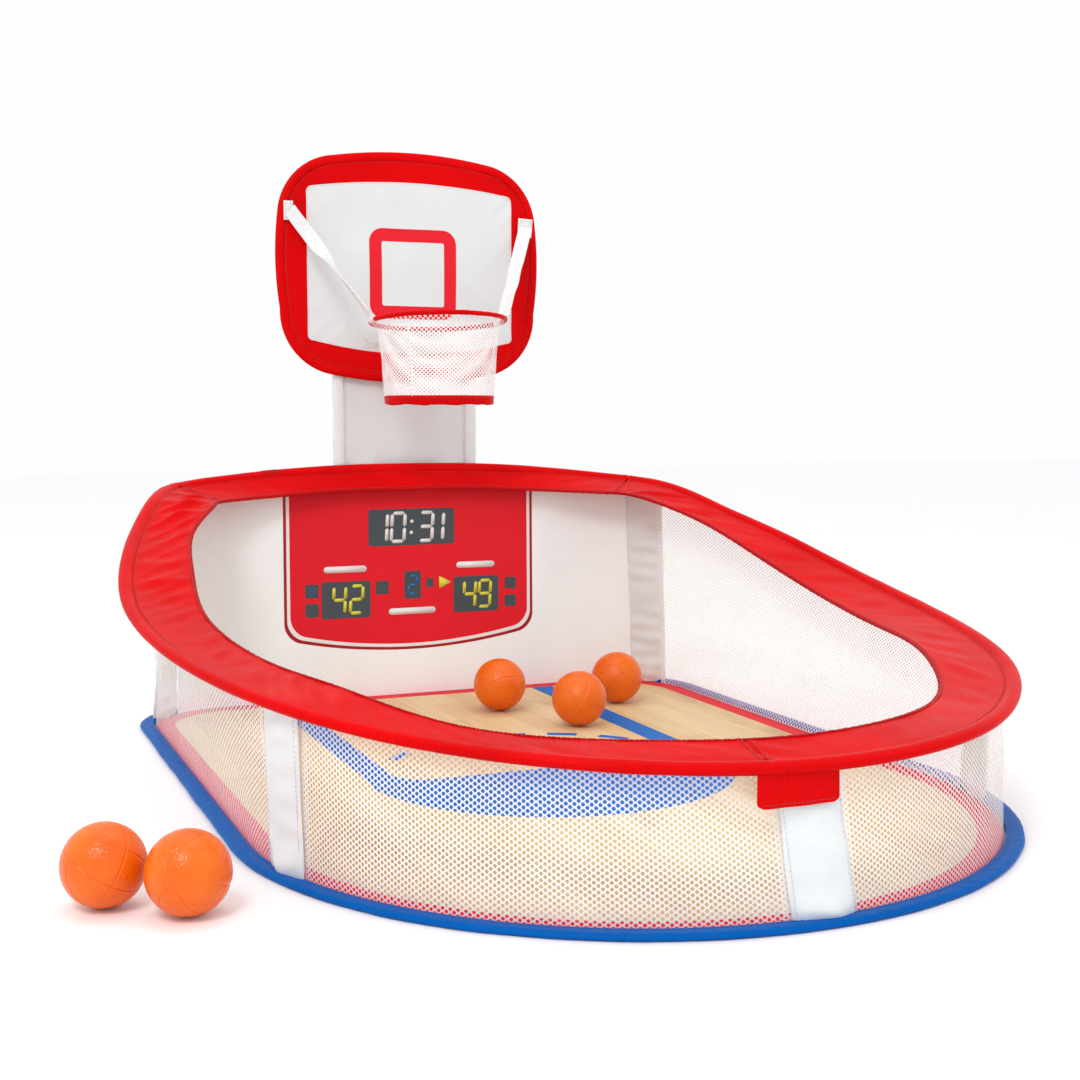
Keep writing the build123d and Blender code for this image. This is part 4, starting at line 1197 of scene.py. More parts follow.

# where the wire sleeve closes at the back left: a turned-in patch over the sleeve, in the darker edge red as painted
# shade of the gap there
tp = np.linspace(22 - 1.34, 22 - 1.22, 16)
o, i, e, u = ring_frame(tp)
th = np.radians(np.linspace(50, 310, 22))
grid = np.stack([o + e * (8 + 8.5 * math.cos(q)) + u * (5.9 * math.sin(q)) for q in th], 1)
grid2 = np.stack([o + e * (8 + 7.8 * math.cos(q)) + u * (5.2 * math.sin(q)) for q in th], 1)
V, F, uv = slab(grid, grid2)
outward(build("sleeve_closing_patch_painted_shade", V, F, M["red_edge"], "court", uv=uv))

# ---------------------------------------------------------------------------
# tower
# ---------------------------------------------------------------------------
tower_y, tower_x, tower_top = 545.0, 98.0, 560.0
tw = ripple(71, 8, 40, 150, 2, (1.0, 0.2))
x = np.linspace(-89.5, 89.5, 61)
z = np.linspace(46, tower_top, 120)
X, Z = np.meshgrid(x, z, indexing="ij")
fade = np.cos(np.pi * X / 180) ** 0.5 * 1.0
calm_at = lambda z: 1 - np.exp(-((z - 327) / 16) ** 2) - np.exp(-((z - 507) / 24) ** 2)
D = fade * calm_at(Z) * (1.5 * tw(X, Z) + 1.0 * ripple(72, 6, 90, 300)(X, Z)) + 0.1
front = np.stack([X, tower_y - 0.7 + D, Z], -1)
rear = np.stack([X, tower_y + 0.7 + D, Z], -1)
V, F, uv = slab(front, rear)
# the tower panel takes the darker board copy of the white cloth: painted shade
ob = outward(build("tower_panel_cloth", V, F, M["white_shaded_board"], "court", ["tower_panel"], uv))
rows_t = []
for side, k in (("left", -1), ("right", 1)):
    a = np.linspace(0, 2 * math.pi, 41)[:-1]
    zz = np.linspace(46, tower_top, 150)
    cr = ripple(75 + k, 9, 16, 60, 2, (0.5, 1.0))
    rad = 1 + 0.05 * cr(a[None, :] * 6 + 0 * zz[:, None], zz[:, None] + 0 * a[None, :])
    endin = np.minimum(1, 0.75 + 0.25 * smooth((tower_top - zz) / 5.0))
    P = np.stack([k * tower_x + 8.6 * np.cos(a)[None] * rad * endin[:, None], tower_y + 5.1 * np.sin(a)[None] * rad * endin[:, None],
                  zz[:, None] + 0 * a[None]], -1)
    V, F, uv = tube(P)
    ob = outward(build(f"tower_sleeve_{side}_cloth", V, F, M["white_shaded_sleeve"], "court", [f"tower_sleeve_{side}"], uv))
    c = np.stack([np.full(200, k * 87.6), np.full(200, tower_y - 0.8), np.linspace(48, tower_top - 3, 200)], -1)
    dd = 0.1 + calm_at(c[:, 2]) * np.cos(np.pi * c[:, 0] / 180) ** 0.5 * (1.5 * tw(c[:, 0], c[:, 2]) + ripple(72, 6, 90, 300)(c[:, 0], c[:, 2]))
    c[:, 1] += dd
    rows_t.append(stitches(c, np.tile([0, -1.0, 0], (200, 1))))
    c2 = c.copy()
    c2[:, 1] += 1.6
    rows_t.append(stitches(c2, np.tile([0, 1.0, 0], (200, 1))))
thread("tower_stitching", rows_t, M["thread_white"], "court")


def soft_block(name, lo, hi, material, nodes, axis=1, puff=0.6, seed=1, n=18):
    """Small padded patches: a crowned block with soft corners, one for each box."""
    parts = []
    for lo_, hi_ in zip(lo, hi):
        lo_, hi_ = np.array(lo_, float), np.array(hi_, float)
        c, h = (lo_ + hi_) / 2, (hi_ - lo_) / 2
        u = np.linspace(-1, 1, n)
        U, W = np.meshgrid(u, u, indexing="ij")
        r = 0.14
        k = np.clip((np.maximum(np.abs(U), np.abs(W)) - (1 - r)) / r, 0, 1)
        dome = np.sqrt(np.maximum(0, 1 - k**2)) * 0.75 + 0.25
        ax = [j for j in range(3) if j != axis]
        rip = ripple(seed, 5, 6, 20)(U * h[ax[0]], W * h[ax[1]]) * 0.08
        grids = []
        for sgn in (-1, 1):
            G = np.zeros(U.shape + (3,))
            G[..., ax[0]] = c[ax[0]] + U * h[ax[0]] * (1 - 0.02 * W * W)
            G[..., ax[1]] = c[ax[1]] + W * h[ax[1]] * (1 - 0.02 * U * U)
            G[..., axis] = c[axis] + sgn * h[axis] * (dome + rip) * 0.98
            grids.append(G)
        parts.append(slab(grids[0], grids[1]))
    V, F, uv = join(parts)
    return outward(build(name, V, F, material, "court", nodes, uv))


mm = lambda v: [float(q) * 1000 for q in v]
tie_lo, tie_hi = map(mm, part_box("tower_ties"))
soft_block("tower_tie_tabs", [(-77, tie_lo[1], tie_lo[2]), (47, tie_lo[1], tie_lo[2])],
           [(-47, tie_hi[1], tie_hi[2] - 6), (77, tie_hi[1], tie_hi[2] - 6)], M["loop"], ["tower_ties"])
pad_lo, pad_hi = map(mm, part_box("board_pads"))
soft_block("board_pad_tabs", [(-80, pad_lo[1], pad_lo[2]), (40, pad_lo[1], pad_lo[2])],
           [(-40, pad_hi[1], pad_hi[2]), (80, pad_hi[1], pad_hi[2])], M["loop"], ["board_pads"])
parts = []
pk_lo, pk_hi = map(mm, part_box("tower_pockets"))
for k in (-1, 1):
    a = np.linspace(0, 2 * math.pi, 33)[:-1]
    zz = pk_lo[2] + (pk_hi[2] - pk_lo[2]) * np.array([0, 0.01, 0.03, 0.08, 0.2, 0.4, 0.6, 0.8, 0.92, 0.97, 1.0, 1.0, 0.97, 0.8, 0.3, 0.1])
    rr = np.array([5.2, 6.1, 6.5, 6.6, 6.5, 6.4, 6.5, 6.6, 6.6, 6.5, 6.1, 4.9, 4.5, 4.45, 4.45, 4.45])
    wv = 1 + 0.02 * ripple(81 + k, 6, 8, 30)(a[None] * 6 + 0 * zz[:, None], zz[:, None] + 0 * a[None])
    P = np.stack([k * tower_x + rr[:, None] * np.cos(a) * wv, tower_y + rr[:, None] * np.sin(a) * wv,
                  np.broadcast_to(zz[:, None], (len(zz), len(a)))], -1)
    parts.append(tube(P))
V, F, uv = join(parts)
build("tower_pocket_tubes", V, F, M["white"], "court", ["tower_pockets"], uv)

# ---------------------------------------------------------------------------
# backboard
# ---------------------------------------------------------------------------
board_x, white_x, target_x = 6.0, 8.0, 10.0
board_front, board_edge_t = 531.6, 8.0


def arc3(a, b, c, n):
    """Points along the circle through three (x, z) points, or a straight line."""
    a, b, c = (np.array(p, float) for p in (a, b, c))
    m = np.array([b - a, c - a]) * 2
    rhs = np.array([b @ b - a @ a, c @ c - a @ a])
    if abs(np.linalg.det(m)) < 1e-6:
        f = np.linspace(0, 1, n)[:, None]
        return a + (c - a) * f
    o = np.linalg.solve(m, rhs)
    r = np.linalg.norm(a - o)
    t0, t1, t2 = (math.atan2(*(p - o)[::-1]) for p in (a, b, c))
    d1 = (t1 - t0 + math.pi) % (2 * math.pi) - math.pi
    d2 = (t2 - t0) % (2 * math.pi)
    if not (0 < (t1 - t0) % (2 * math.pi) < d2):
        d2 -= 2 * math.pi
    th = t0 + d2 * np.linspace(0, 1, n)
    return o + r * np.stack([np.cos(th), np.sin(th)], -1)


def even(poly, n):
    """A closed outline cut to n even steps."""
    q = np.concatenate([poly, poly[:1]])
    d = np.concatenate([[0], np.cumsum(np.linalg.norm(np.diff(q, axis=0), axis=1))])
    s = np.linspace(0, d[-1], n + 1)[:-1]
    return np.stack([np.interp(s, d, q[:, 0]), np.interp(s, d, q[:, 1])], -1), d[-1]


def outline(arcs, n):
    """Closed outline from arcs that follow one another."""
    return even(np.concatenate([arc3(*seg, 60)[:-1] for seg in arcs]), n)


def mirrored(top, sides, bottom):
    """The whole outline from the top arc, the right side's arcs and the bottom arc."""
    flip = [tuple((-x, z) for x, z in seg[::-1]) for seg in sides[::-1]]
    return [top] + sides + [bottom] + flip


n_out = 480
board_arcs = mirrored(((-112, 759), (0, 768.5), (112, 759)),
                      [((112, 759), (168, 731), (192, 676)), ((192, 676), (195.5, 612), (190, 545)),
                       ((190, 545), (170, 485), (122, 455))], ((122, 455), (0, 443), (-122, 455)))
white_arcs = mirrored(((-143, 714), (0, 725), (143, 714)),
                      [((143, 714), (149, 711), (151, 705)), ((151, 705), (151, 608), (151, 511)),
                       ((151, 511), (149.5, 505.5), (144, 503))], ((144, 503), (0, 486), (-144, 503)))
rim_line, board_len = outline(board_arcs, n_out)
white_line, white_len = outline(white_arcs, n_out)
rim_line = (rim_line - (0, 605.75)) * 0.988 + (0, 605.75)
rim_line = rim_line + (board_x, 0)
white_line = white_line + (white_x, 0)
# start both outlines at the same direction from the centre
centre = np.array([7.0, 605.0])


def roll_to(line):
    a = np.arctan2(line[:, 1] - centre[1], line[:, 0] - centre[0])
    return np.roll(line, -int(np.argmin(np.abs(a))), 0)


rim_line, white_line = roll_to(rim_line), roll_to(white_line)

bf1 = ripple(91, 9, 50, 170, 2, (1.0, 0.8))
bf2 = ripple(92, 7, 120, 380, 2, (1.0, 1.0))
bf3 = ripple(93, 9, 14, 40, 2)


def board_disp(x, z):
    """Depth of the backboard cloth behind its plane, mm: sags and pulls from straps and rim."""
    q = np.maximum(np.abs((x - board_x) / 178), np.abs((z - 606) / 146))
    fade = smooth((1.0 - q) / 0.25)
    pull = 0
    for cx, cz, r in ((-88, 530, 60.0), (102, 530, 60.0), (-150, 660, 45.0), (160, 660, 45.0)):
        d2 = ((x - cx) ** 2 + (z - cz) ** 2) / r**2
        ang = np.arctan2(z - cz, x - cx)
        pull = pull + np.exp(-d2) * np.sin(ang * 3.0 + cx) * 0.8 * (1 - np.exp(-d2 * 9))
    r = 1.0 * bf1(x, z) + 1.6 * bf2(x, z) + pull
    w = np.exp(-((np.abs(x - 6) - 160) / 38) ** 2) * np.exp(-((np.abs(z - 606) - 110) / 52) ** 2)
    tuck = (1 + np.sin((x * np.sign(z - 606) - z * np.sign(x - 6)) / 5.5 + 0.7 * np.sin(x / 21.0))) * 0.6 * w
    return fade * (np.sqrt(r * r + 0.25) + r) * 0.5 + 0.08 * (1 + bf3(x, z)) + tuck


board_mid_y = 535.6


def board_pts(P2, lift=0.0):
    return np.stack([P2[..., 0], board_mid_y + board_disp(P2[..., 0], P2[..., 1]) - lift, P2[..., 1]], -1)


# the red border: rolled wire sleeve outside, then flat cloth to the white panel
nrm = np.roll(rim_line, -1, 0) - np.roll(rim_line, 1, 0)
nrm = unit(np.stack([nrm[:, 1], -nrm[:, 0]], -1))
if np.mean(np.sum(nrm * (rim_line - centre), 1)) < 0:
    nrm = -nrm
th = np.radians(np.linspace(-140, 140, 21))
dist = np.arange(n_out) * board_len / n_out
rb = ripple(94, 10, 8, 30, 2, (1.0, 1.0))
inner_c = white_line
rows = []
sleeve_c = rim_line - nrm * 6.4
fr = np.linspace(0, 1, 16)
start = rim_line - nrm * 12.6
for f in fr[::-1]:
    p = start + (inner_c - start) * f
    q = board_pts(p)
    q[:, 1] -= 1.2
    rows.append(q)
for a in th:
    off = 6.4 * math.cos(a)
    p2 = sleeve_c + nrm * off
    yy = 535.6 + 3.9 * math.sin(a) * (1 + 0.05 * rb(dist, np.full(n_out, a * 9)))
    rows.append(np.stack([p2[:, 0], yy, p2[:, 1]], -1))
for f in fr:
    p = start + (inner_c - start) * f
    q = board_pts(p)
    q[:, 1] += 1.2
    rows.append(q)
P = np.stack(rows, 1)
V, F, uv = tube(P, wrap_u=True)
ob = outward(build("board_border_cloth", V, F, M["red"], "court", ["board_border"], uv))
rows_t = []
line = rim_line - nrm * 14.2
c = board_pts(line)
rows_t.append(stitches(np.concatenate([c, c[:1]]) - (0, 1.25, 0), np.tile([0, -1.0, 0], (n_out + 1, 1))))
rows_t.append(stitches(np.concatenate([c, c[:1]]) + (0, 1.25, 0), np.tile([0, 1.0, 0], (n_out + 1, 1))))
thread("board_stitching", rows_t, M["thread_red"], "court")
V = []
k = np.linspace(0, 1, 40)
g = white_line[:, None] + (np.array([white_x, 605.0]) - white_line)[:, None] * k[None, :-1, None]
A = board_pts(g)
A[..., 1] -= 1.15
B = board_pts(g)
B[..., 1] += 1.15
n = n_out * 39
tip = board_pts(np.array([[white_x, 605.0]]))[0]
V = np.concatenate([A.reshape(-1, 3), B.reshape(-1, 3), [tip - (0, 1.15, 0), tip + (0, 1.15, 0)]])
quads = [grid_faces(n_out, 39, True), grid_faces(n_out, 39, True, flip=True, base=n)]
i = np.arange(n_out)
j = (i + 1) % n_out
quads.append(np.stack([i * 39, n + i * 39, n + j * 39, j * 39], -1))
tris = np.concatenate([np.stack([i * 39 + 38, j * 39 + 38, np.full(n_out, 2 * n)], -1),
                       np.stack([n + j * 39 + 38, n + i * 39 + 38, np.full(n_out, 2 * n + 1)], -1)])
ob = outward(build("board_panel_cloth", V, [np.concatenate(quads), tris], M["white_shaded_board"], "court",
                   ["board_panel"], uv=V[:, [0, 2]]))
# stitched join of white and red
line = white_line + unit(np.array([white_x, 605.0]) - white_line) * 1.6
c = board_pts(line)
thread("board_panel_stitching", [stitches(np.concatenate([c, c[:1]]) - (0, 1.2, 0),
                                          np.tile([0, -1.0, 0], (n_out + 1, 1)))], M["thread_white"], "court")


def rounded_rect(cx, cz, w, h, r, n):
    x0, x1, z0, z1 = cx - w / 2, cx + w / 2, cz - h / 2, cz + h / 2
    pts = []
    for ox, oz, a0 in ((x1 - r, z1 - r, 90), (x1 - r, z0 + r, 0), (x0 + r, z0 + r, -90), (x0 + r, z1 - r, -180)):
        a = np.radians(np.linspace(a0, a0 - 90, 12))
        pts += [(ox + r * math.cos(q), oz + r * math.sin(q)) for q in a]
    return even(np.array(pts), n)[0]


outer2 = rounded_rect(target_x, 598, 128, 126, 20, 200)
inner2 = rounded_rect(target_x, 598, 92, 90, 3, 200)
al = lambda L: np.roll(L, -int(np.argmin(np.abs(np.arctan2(L[:, 1] - 598, L[:, 0] - target_x)))), 0)
outer2, inner2 = al(outer2), al(inner2)
g = outer2[:, None] + (inner2 - outer2)[:, None] * np.linspace(0, 1, 9)[None, :, None]
A, B = board_pts(g, 1.45), board_pts(g, 1.0)
V, F, uv = slab(A, B, wrap=True)
outward(build("target_square_print", V, F, M["red_print"], "court", ["target_square"], uv))

# ---------------------------------------------------------------------------
# rim, tab, net and hem: all ride on the rim body
# ---------------------------------------------------------------------------
rc = np.array([5.0, 412.3, 525.5])
tilt = math.radians(4.1)
ax_x = np.array([1.0, 0, 0])
ax_y = np.array([0, math.cos(tilt), -math.sin(tilt)])
ax_n = np.array([0, math.sin(tilt), math.cos(tilt)])
a = np.linspace(0, 2 * math.pi, 361)[:-1]
b = np.linspace(0, 2 * math.pi, 29)[:-1]
gather = ripple(101, 12, 4, 14, 2, (1.0, 0.15))
gather2 = ripple(102, 8, 20, 70, 2, (1.0, 0.5))
Aa, Bb = np.meshgrid(a, b, indexing="ij")
minor = 3.1 * (1 + 0.05 * gather(Aa * 89.3, Bb * 4) + 0.04 * gather2(Aa * 89.3, Bb * 4))
R = 90.2 + minor * np.cos(Bb)
Zr = minor * np.sin(Bb)
P = rc + (R * np.cos(Aa))[..., None] * ax_x + (R * np.sin(Aa))[..., None] * ax_y + Zr[..., None] * ax_n
V, F, uv = tube(P, wrap_u=True)
ob = outward(build("rim_sleeve_cloth", V, F, M["red"], "rim", ["rim_sleeve"], uv))
seam_r = 87.2
c = rc + (seam_r * np.cos(a))[:, None] * ax_x + (seam_r * np.sin(a))[:, None] * ax_y - 1.7 * ax_n
nin = -(np.cos(a)[:, None] * ax_x + np.sin(a)[:, None] * ax_y)
thread("rim_stitching", [stitches(np.concatenate([c, c[:1]]), np.concatenate([nin, nin[:1]]), 3.6, 2.4)],
       M["thread_red"], "rim")

# the tab from the rim's back to the board
v = np.linspace(0, 1, 24)
x = np.linspace(-48, 48, 49) + 5.0
back_in = np.sqrt(np.maximum(0, 91.5**2 - (x - 5.0) ** 2))
tabw = ripple(105, 6, 20, 70, 2)
L1 = (533.4 - rc[1]) / math.cos(tilt) - 0.8
Yl = back_in[:, None] + (L1 - back_in)[:, None] * v[None]
sag = 0.9 * np.sin(np.pi * v)[None] * tabw(x[:, None] + 0 * v[None], Yl)
C = rc + (x - 5.0)[:, None, None] * ax_x + Yl[..., None] * ax_y + sag[..., None] * ax_n
V, F, uv = slab(C + 0.75 * ax_n, C - 0.75 * ax_n)
ob = outward(build("rim_tab_cloth", V, F, M["white"], "rim", ["rim_tab"], uv))
rows_t = []
for off in (4.0, 12.0):
    k = (L1 - off)
    cc = rc + (x - 5.0)[:, None] * ax_x + k * ax_y + (0.78 + 0.9 * np.sin(np.pi * np.clip((k - back_in) / (L1 - back_in), 0, 1)) * tabw(x, np.full_like(x, k)))[:, None] * ax_n
    rows_t.append(stitches(cc, np.tile(ax_n, (len(x), 1))))
thread("rim_tab_stitching", rows_t, M["thread_white"], "rim")

# net: a knitted tube, coarser holes near the rim, seam at the front left
net_r0, net_r1, net_z1 = 84.8, 73.2, 425.0
hem_c = np.array([5.5, 411.0])
nw1, nw2 = ripple(111, 8, 60, 200, 2), ripple(112, 8, 30, 90, 2)
seam_a = math.radians(222.6)
L_net = 2 * math.pi * 80.0


def net_at(x, y, lift=0.0):
    """x round the tube from the seam, y down from the rim, in mm of a 100 mm tall tube."""
    ang = seam_a + x / L_net * 2 * math.pi
    f = np.clip(y / 100.0, 0, 1)
    top = rc + (net_r0 * np.cos(ang))[..., None] * ax_x + (net_r0 * np.sin(ang))[..., None] * ax_y - 1.5 * ax_n
    low = np.stack([hem_c[0] + net_r1 * np.cos(ang), hem_c[1] + net_r1 * np.sin(ang), np.full_like(ang, net_z1 - 1.5)], -1)
    p = top + (low - top) * f[..., None]
    out = np.stack([np.cos(ang), np.sin(ang), 0 * ang], -1)
    p = p + out * (5.0 * np.exp(-(y / 4.5) ** 2))[..., None]
    per = np.cos(ang) * 80, np.sin(ang) * 80
    wav = (1.1 * ripple3(per[0], per[1], y) + 0.6 * ripple4(per[0], per[1], y)) * np.sin(np.pi * f) ** 0.7
    waist = -2.2 * np.sin(np.pi * f)
    return p + out * ((wav + waist) * smooth(y / 12.0) + lift)[..., None]


ripple3, ripple4 = ripple(113, 9, 60, 200, 3), ripple(114, 9, 26, 70, 3)
P2, quads, tris = lattice(L_net, lambda q: np.full_like(np.asarray(q, float), 100.0), a=6.2, b=2.6, wrap=True,
                          radius=lambda x, y: np.where(y < 9, 1.75, np.where(y < 50, 1.6, 1.5)))
ob = build("net_knit", net_at(P2[:, 0], P2[:, 1]), [quads, tris], M["knit_net"], "rim", ["net"])
yy = np.linspace(2, 99, 60)
s0 = net_at(np.full(60, -1.6), yy, 0.3)
s1 = net_at(np.full(60, 0.0), yy, 0.9)
s2 = net_at(np.full(60, 1.6), yy, 0.3)
i0, i1, i2 = (net_at(np.full(60, q), yy, -0.5) for q in (-1.6, 0.0, 1.6))
V, F, uv = slab(np.stack([s0, s1, s2], 1), np.stack([i0, i1, i2], 1))
outward(build("net_seam_tape", V, F, M["white"], "rim", uv=uv))
nz = net_at(np.full(60, 0.0), yy, 0.9)
nn_ = np.tile([math.cos(seam_a), math.sin(seam_a), 0], (60, 1))
thread("net_seam_stitching", [stitches(nz, nn_, 3.2, 2.2)], M["thread_white"], "rim")

# red hem: folded band with a lightly waved lower edge
ang = np.linspace(0, 2 * math.pi, 361)[:-1]
px, py = np.cos(ang) * 73, np.sin(ang) * 73
hw = ripple(121, 8, 25, 80, 2)
hw2 = ripple(122, 10, 7, 18, 2)
prof = [(-0.8, 0.5), (-1.0, 3), (-1.0, 8), (-0.9, 10.2), (-0.3, 11.2), (0.5, 11.4), (1.1, 10.4), (1.25, 8), (1.2, 5),
        (1.3, 2.4), (1.25, 0.6), (0.8, -0.4), (-0.2, -0.5)]
rows = []
for r_, d_ in prof:
    rr = 72.7 + r_ + 0.5 * hw(px, py) * (0.4 + d_ / 11) + 0.12 * hw2(px, py)
    zz = 425.2 - d_ - (0.8 * hw(py, px) + 0.2 * hw2(py, px)) * max(0, d_ / 11)
    rows.append(np.stack([hem_c[0] + rr * np.cos(ang), hem_c[1] + rr * np.sin(ang), zz], -1))
P = np.stack(rows, 1)
V, F, uv = tube(P, wrap_u=True)
ob = outward(build("net_hem_tape", V, F, M["red"], "rim", ["net_hem"], uv))
rr = 72.7 + 1.32 + 0.5 * hw(px, py) * (0.4 + 2.4 / 11) + 0.12 * hw2(px, py)
c = np.stack([hem_c[0] + rr * np.cos(ang), hem_c[1] + rr * np.sin(ang), np.full(360, 422.8)], -1)
no = np.stack([np.cos(ang), np.sin(ang), 0 * ang], -1)
thread("hem_stitching", [stitches(np.concatenate([c, c[:1]]), np.concatenate([no, no[:1]]), 3.4, 2.3)],
       M["thread_red"], "rim")

# ---------------------------------------------------------------------------
# straps from the board to the rim
# ---------------------------------------------------------------------------
def strap(name, a, b, wa, wb, node, seed):
    a, b, wa, wb = (np.array(q, float) for q in (a, b, wa, wb))
    wa, wb = unit(wa), unit(wb)
    f = np.linspace(0, 1, 90)
    line = a + (b - a) * f[:, None]
    d = unit(b - a)
    w = unit(wa + (wb - wa) * smooth(f)[:, None])
    w = unit(w - (w @ d)[:, None] * d)
    n = unit(np.cross(d, w))
    x = np.linspace(-9.5, 9.5, 13)
    wob = ripple(seed, 6, 30, 120, 1)
    curl = 0.5 * ripple(seed + 1, 5, 40, 150, 1)(f * 200)
    line = line + n * (0.8 * wob(f * 200) * np.sin(np.pi * f))[:, None]
    ribs = 0.06 * np.cos(x / 19 * 2 * math.pi * 9)
    G = line[:, None] + w[:, None] * x[None, :, None] + n[:, None] * (curl[:, None] * (x[None] / 9.5) ** 2)[..., None]
    front = G + n[:, None] * (0.6 + ribs)[None, :, None]
    rear = G - n[:, None] * (0.6 + ribs)[None, :, None]
    V, F, uv = slab(front, rear)
    ob = outward(build(name, V, F, M["webbing"], None, [node], uv))
    return ob, np.linalg.norm(b - a), line, w, n


straps = {}
for name, a, b, wa, wb, node in (
        ("strap_left_web", (-168, 526, 678), (-91.5, 414, 533.5), (0.05, 0.1, 1), (0.1, 1, -0.1), "strap_left"),
        ("strap_right_web", (178, 526, 670), (101, 418, 533.5), (1, -0.25, 0.1), (0.5, -0.8, 0), "strap_right")):
    ob, ln, line, w, n = strap(name, a, b, wa, wb, node, 131 if "left" in name else 141)
    straps[name] = (a, b)
    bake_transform(ob)

# folded ends: tabs sewn on the board's front and loops round the rim
def tab(name, cx, cz, w, h, y, turn, body, seed):
    u = np.linspace(-1, 1, 15)
    U, W = np.meshgrid(u, u, indexing="ij")
    k = np.maximum(np.abs(U), np.abs(W)) ** 10
    X = U * w / 2
    Z = W * h / 2
    c, s = math.cos(turn), math.sin(turn)
    xx, zz = cx + X * c - Z * s, cz + X * s + Z * c
    dy = 0.25 * ripple(seed, 5, 10, 30)(X, Z)
    yb = board_mid_y + board_disp(xx, zz) - 1.5 if y is None else y + 0 * xx
    A = np.stack([xx, yb - 1.5 * (1 - 0.7 * k) + dy, zz], -1)
    B = np.stack([xx, yb + 0.2, zz], -1)
    V, F, uv = slab(A, B)
    ob = outward(build(name, V, F, M["webbing"], body, uv=uv))
    e = np.linspace(-0.78, 0.78, 12)
    box = [(e, -0.78 + 0 * e), (0.78 + 0 * e, e), (-e, 0.78 + 0 * e), (-0.78 + 0 * e, -e), (e, e), (-e, e)]
    rows = []
    for bu, bw_ in box:
        X, Z = bu * w / 2, bw_ * h / 2
        xx, zz = cx + X * c - Z * s, cz + X * s + Z * c
        yy = (board_mid_y + board_disp(xx, zz) - 1.5 if y is None else y + 0 * xx) - 1.55
        rows.append(stitches(np.stack([xx, yy, zz], -1), np.tile([0, -1.0, 0], (12, 1)), 3.4, 2.3))
    thread(name + "_stitching", rows, M["thread_white"], body)


tab("strap_tab_left", -169, 678, 13, 26, 531.4, 0.0, "court", 151)
tab("strap_tab_right", 179, 670, 22, 26, 531.4, -0.06, "court", 152)


def rim_loop(name, angle, half, seed):
    """A webbing loop sewn round the rim sleeve at an angle."""
    aa = angle + np.linspace(-half, half, 15)
    bb = np.linspace(0, 2 * math.pi, 33)[:-1]
    A_, B_ = np.meshgrid(aa, bb, indexing="ij")
    edge_soft = 1 - 0.10 * np.abs(np.linspace(-1, 1, 15))[:, None] ** 8
    mr = 4.4 * edge_soft * (1 + 0.03 * ripple(seed, 5, 6, 20)(A_ * 89, B_ * 5))
    R_ = 90.2 + mr * np.cos(B_)
    Z_ = mr * np.sin(B_)
    P = rc + (R_ * np.cos(A_))[..., None] * ax_x + (R_ * np.sin(A_))[..., None] * ax_y + Z_[..., None] * ax_n
    V, F, uv = tube(P)
    outward(build(name, V, F, M["webbing"], "rim", uv=uv))


rim_loop("strap_loop_left", math.radians(178.8), 0.105, 161)
rim_loop("strap_loop_right", math.radians(3.5), 0.105, 162)

# ---------------------------------------------------------------------------
# sewn tag at the front
# ---------------------------------------------------------------------------
tag_x, tag_z0, tag_z1 = -28.0, 98.5, 125.5
zz = np.linspace(tag_z0, tag_z1, 16)
hz = (zz - (tag_z0 + tag_z1) / 2) / ((tag_z1 - tag_z0) / 2)
q = np.maximum(0, (tag_z1 - tag_z0) / 2 * np.abs(hz) - ((tag_z1 - tag_z0) / 2 - 5))
hw_ = 37 - 5 + np.sqrt(np.maximum(0, 25 - q * q)) * np.where(hz < 0, 1, 0) + np.where(hz < 0, 0, 5)
u = np.linspace(-1, 1, 41)
X = tag_x + u[:, None] * hw_[None]
Z = np.broadcast_to(zz, X.shape)
tg = ripple(171, 6, 20, 70)
curve = -547.2 + 0.0016 * (X - tag_x) ** 2 + 0.5 * tg(X, Z) + 0.35 * (1 - (Z - tag_z0) / 27) ** 2 * -2
A = np.stack([X, curve - 0.55, Z], -1)
B = np.stack([X, curve + 0.55, Z], -1)
V, F, uv = slab(A, B)
ob = outward(build("front_tag_label", V, F, M["red"], "court", ["front_tag"], uv))
uu = np.linspace(-1, 1, 60)
line_x = tag_x + uu * 33
pts = []
for x_, z_ in [(tag_x - 33 + 66 * f, tag_z0 + 3.0) for f in np.linspace(0, 1, 40)]:
    pts.append((x_, -547.2 + 0.0016 * (x_ - tag_x) ** 2 + 0.5 * float(tg(x_, z_)) + 0.35 * (1 - 3.0 / 27) ** 2 * -2 - 0.6, z_))
thread("tag_stitching", [stitches(np.array(pts), np.tile([0, -1.0, 0], (len(pts), 1)), 3.6, 2.5)], M["thread_red"],
       "court")

# ---------------------------------------------------------------------------
# balls: pebbled skin with seam lines and a moulding line
# ---------------------------------------------------------------------------
ball_at = {"ball_1": (69.5, 352.8, 37.2), "ball_2": (128, 220.3, 37.2), "ball_3": (239.8, 342.9, 37.2),
           "ball_4": (-521.6, -282.7, 35.2), "ball_5": (-461.4, -329.8, 35.2)}
ball_turn = {"ball_1": (0.5, 0.2, 0.4), "ball_2": (0.9, -0.4, 1.3), "ball_3": (-0.3, 0.7, 2.2),
             "ball_4": (0.3, 0.5, 0.2), "ball_5": (1.1, 0.3, 0.9)}
n_ico = 60


def cube_sphere(n):
    """Points and quads of an even sphere."""
    c = np.tan(np.linspace(-math.pi / 4, math.pi / 4, n + 1))
    U, W = np.meshgrid(c, c, indexing="ij")
    one = np.ones_like(U)
    faces = [(one, U, W), (-one, -U, W), (-U, one, W), (U, -one, W), (-W, U, one), (W, U, -one)]
    V, Q, k = [], [], 0
    for f in faces:
        p = unit(np.stack(f, -1).reshape(-1, 3))
        V.append(p)
        Q.append(grid_faces(n + 1, n + 1, base=k))
        k += len(p)
    V, Q = np.concatenate(V), np.concatenate(Q)
    key, first, inv = np.unique(np.round(V, 6), axis=0, return_index=True, return_inverse=True)
    return V[first], inv.ravel()[Q]


sv, sq = cube_sphere(84)


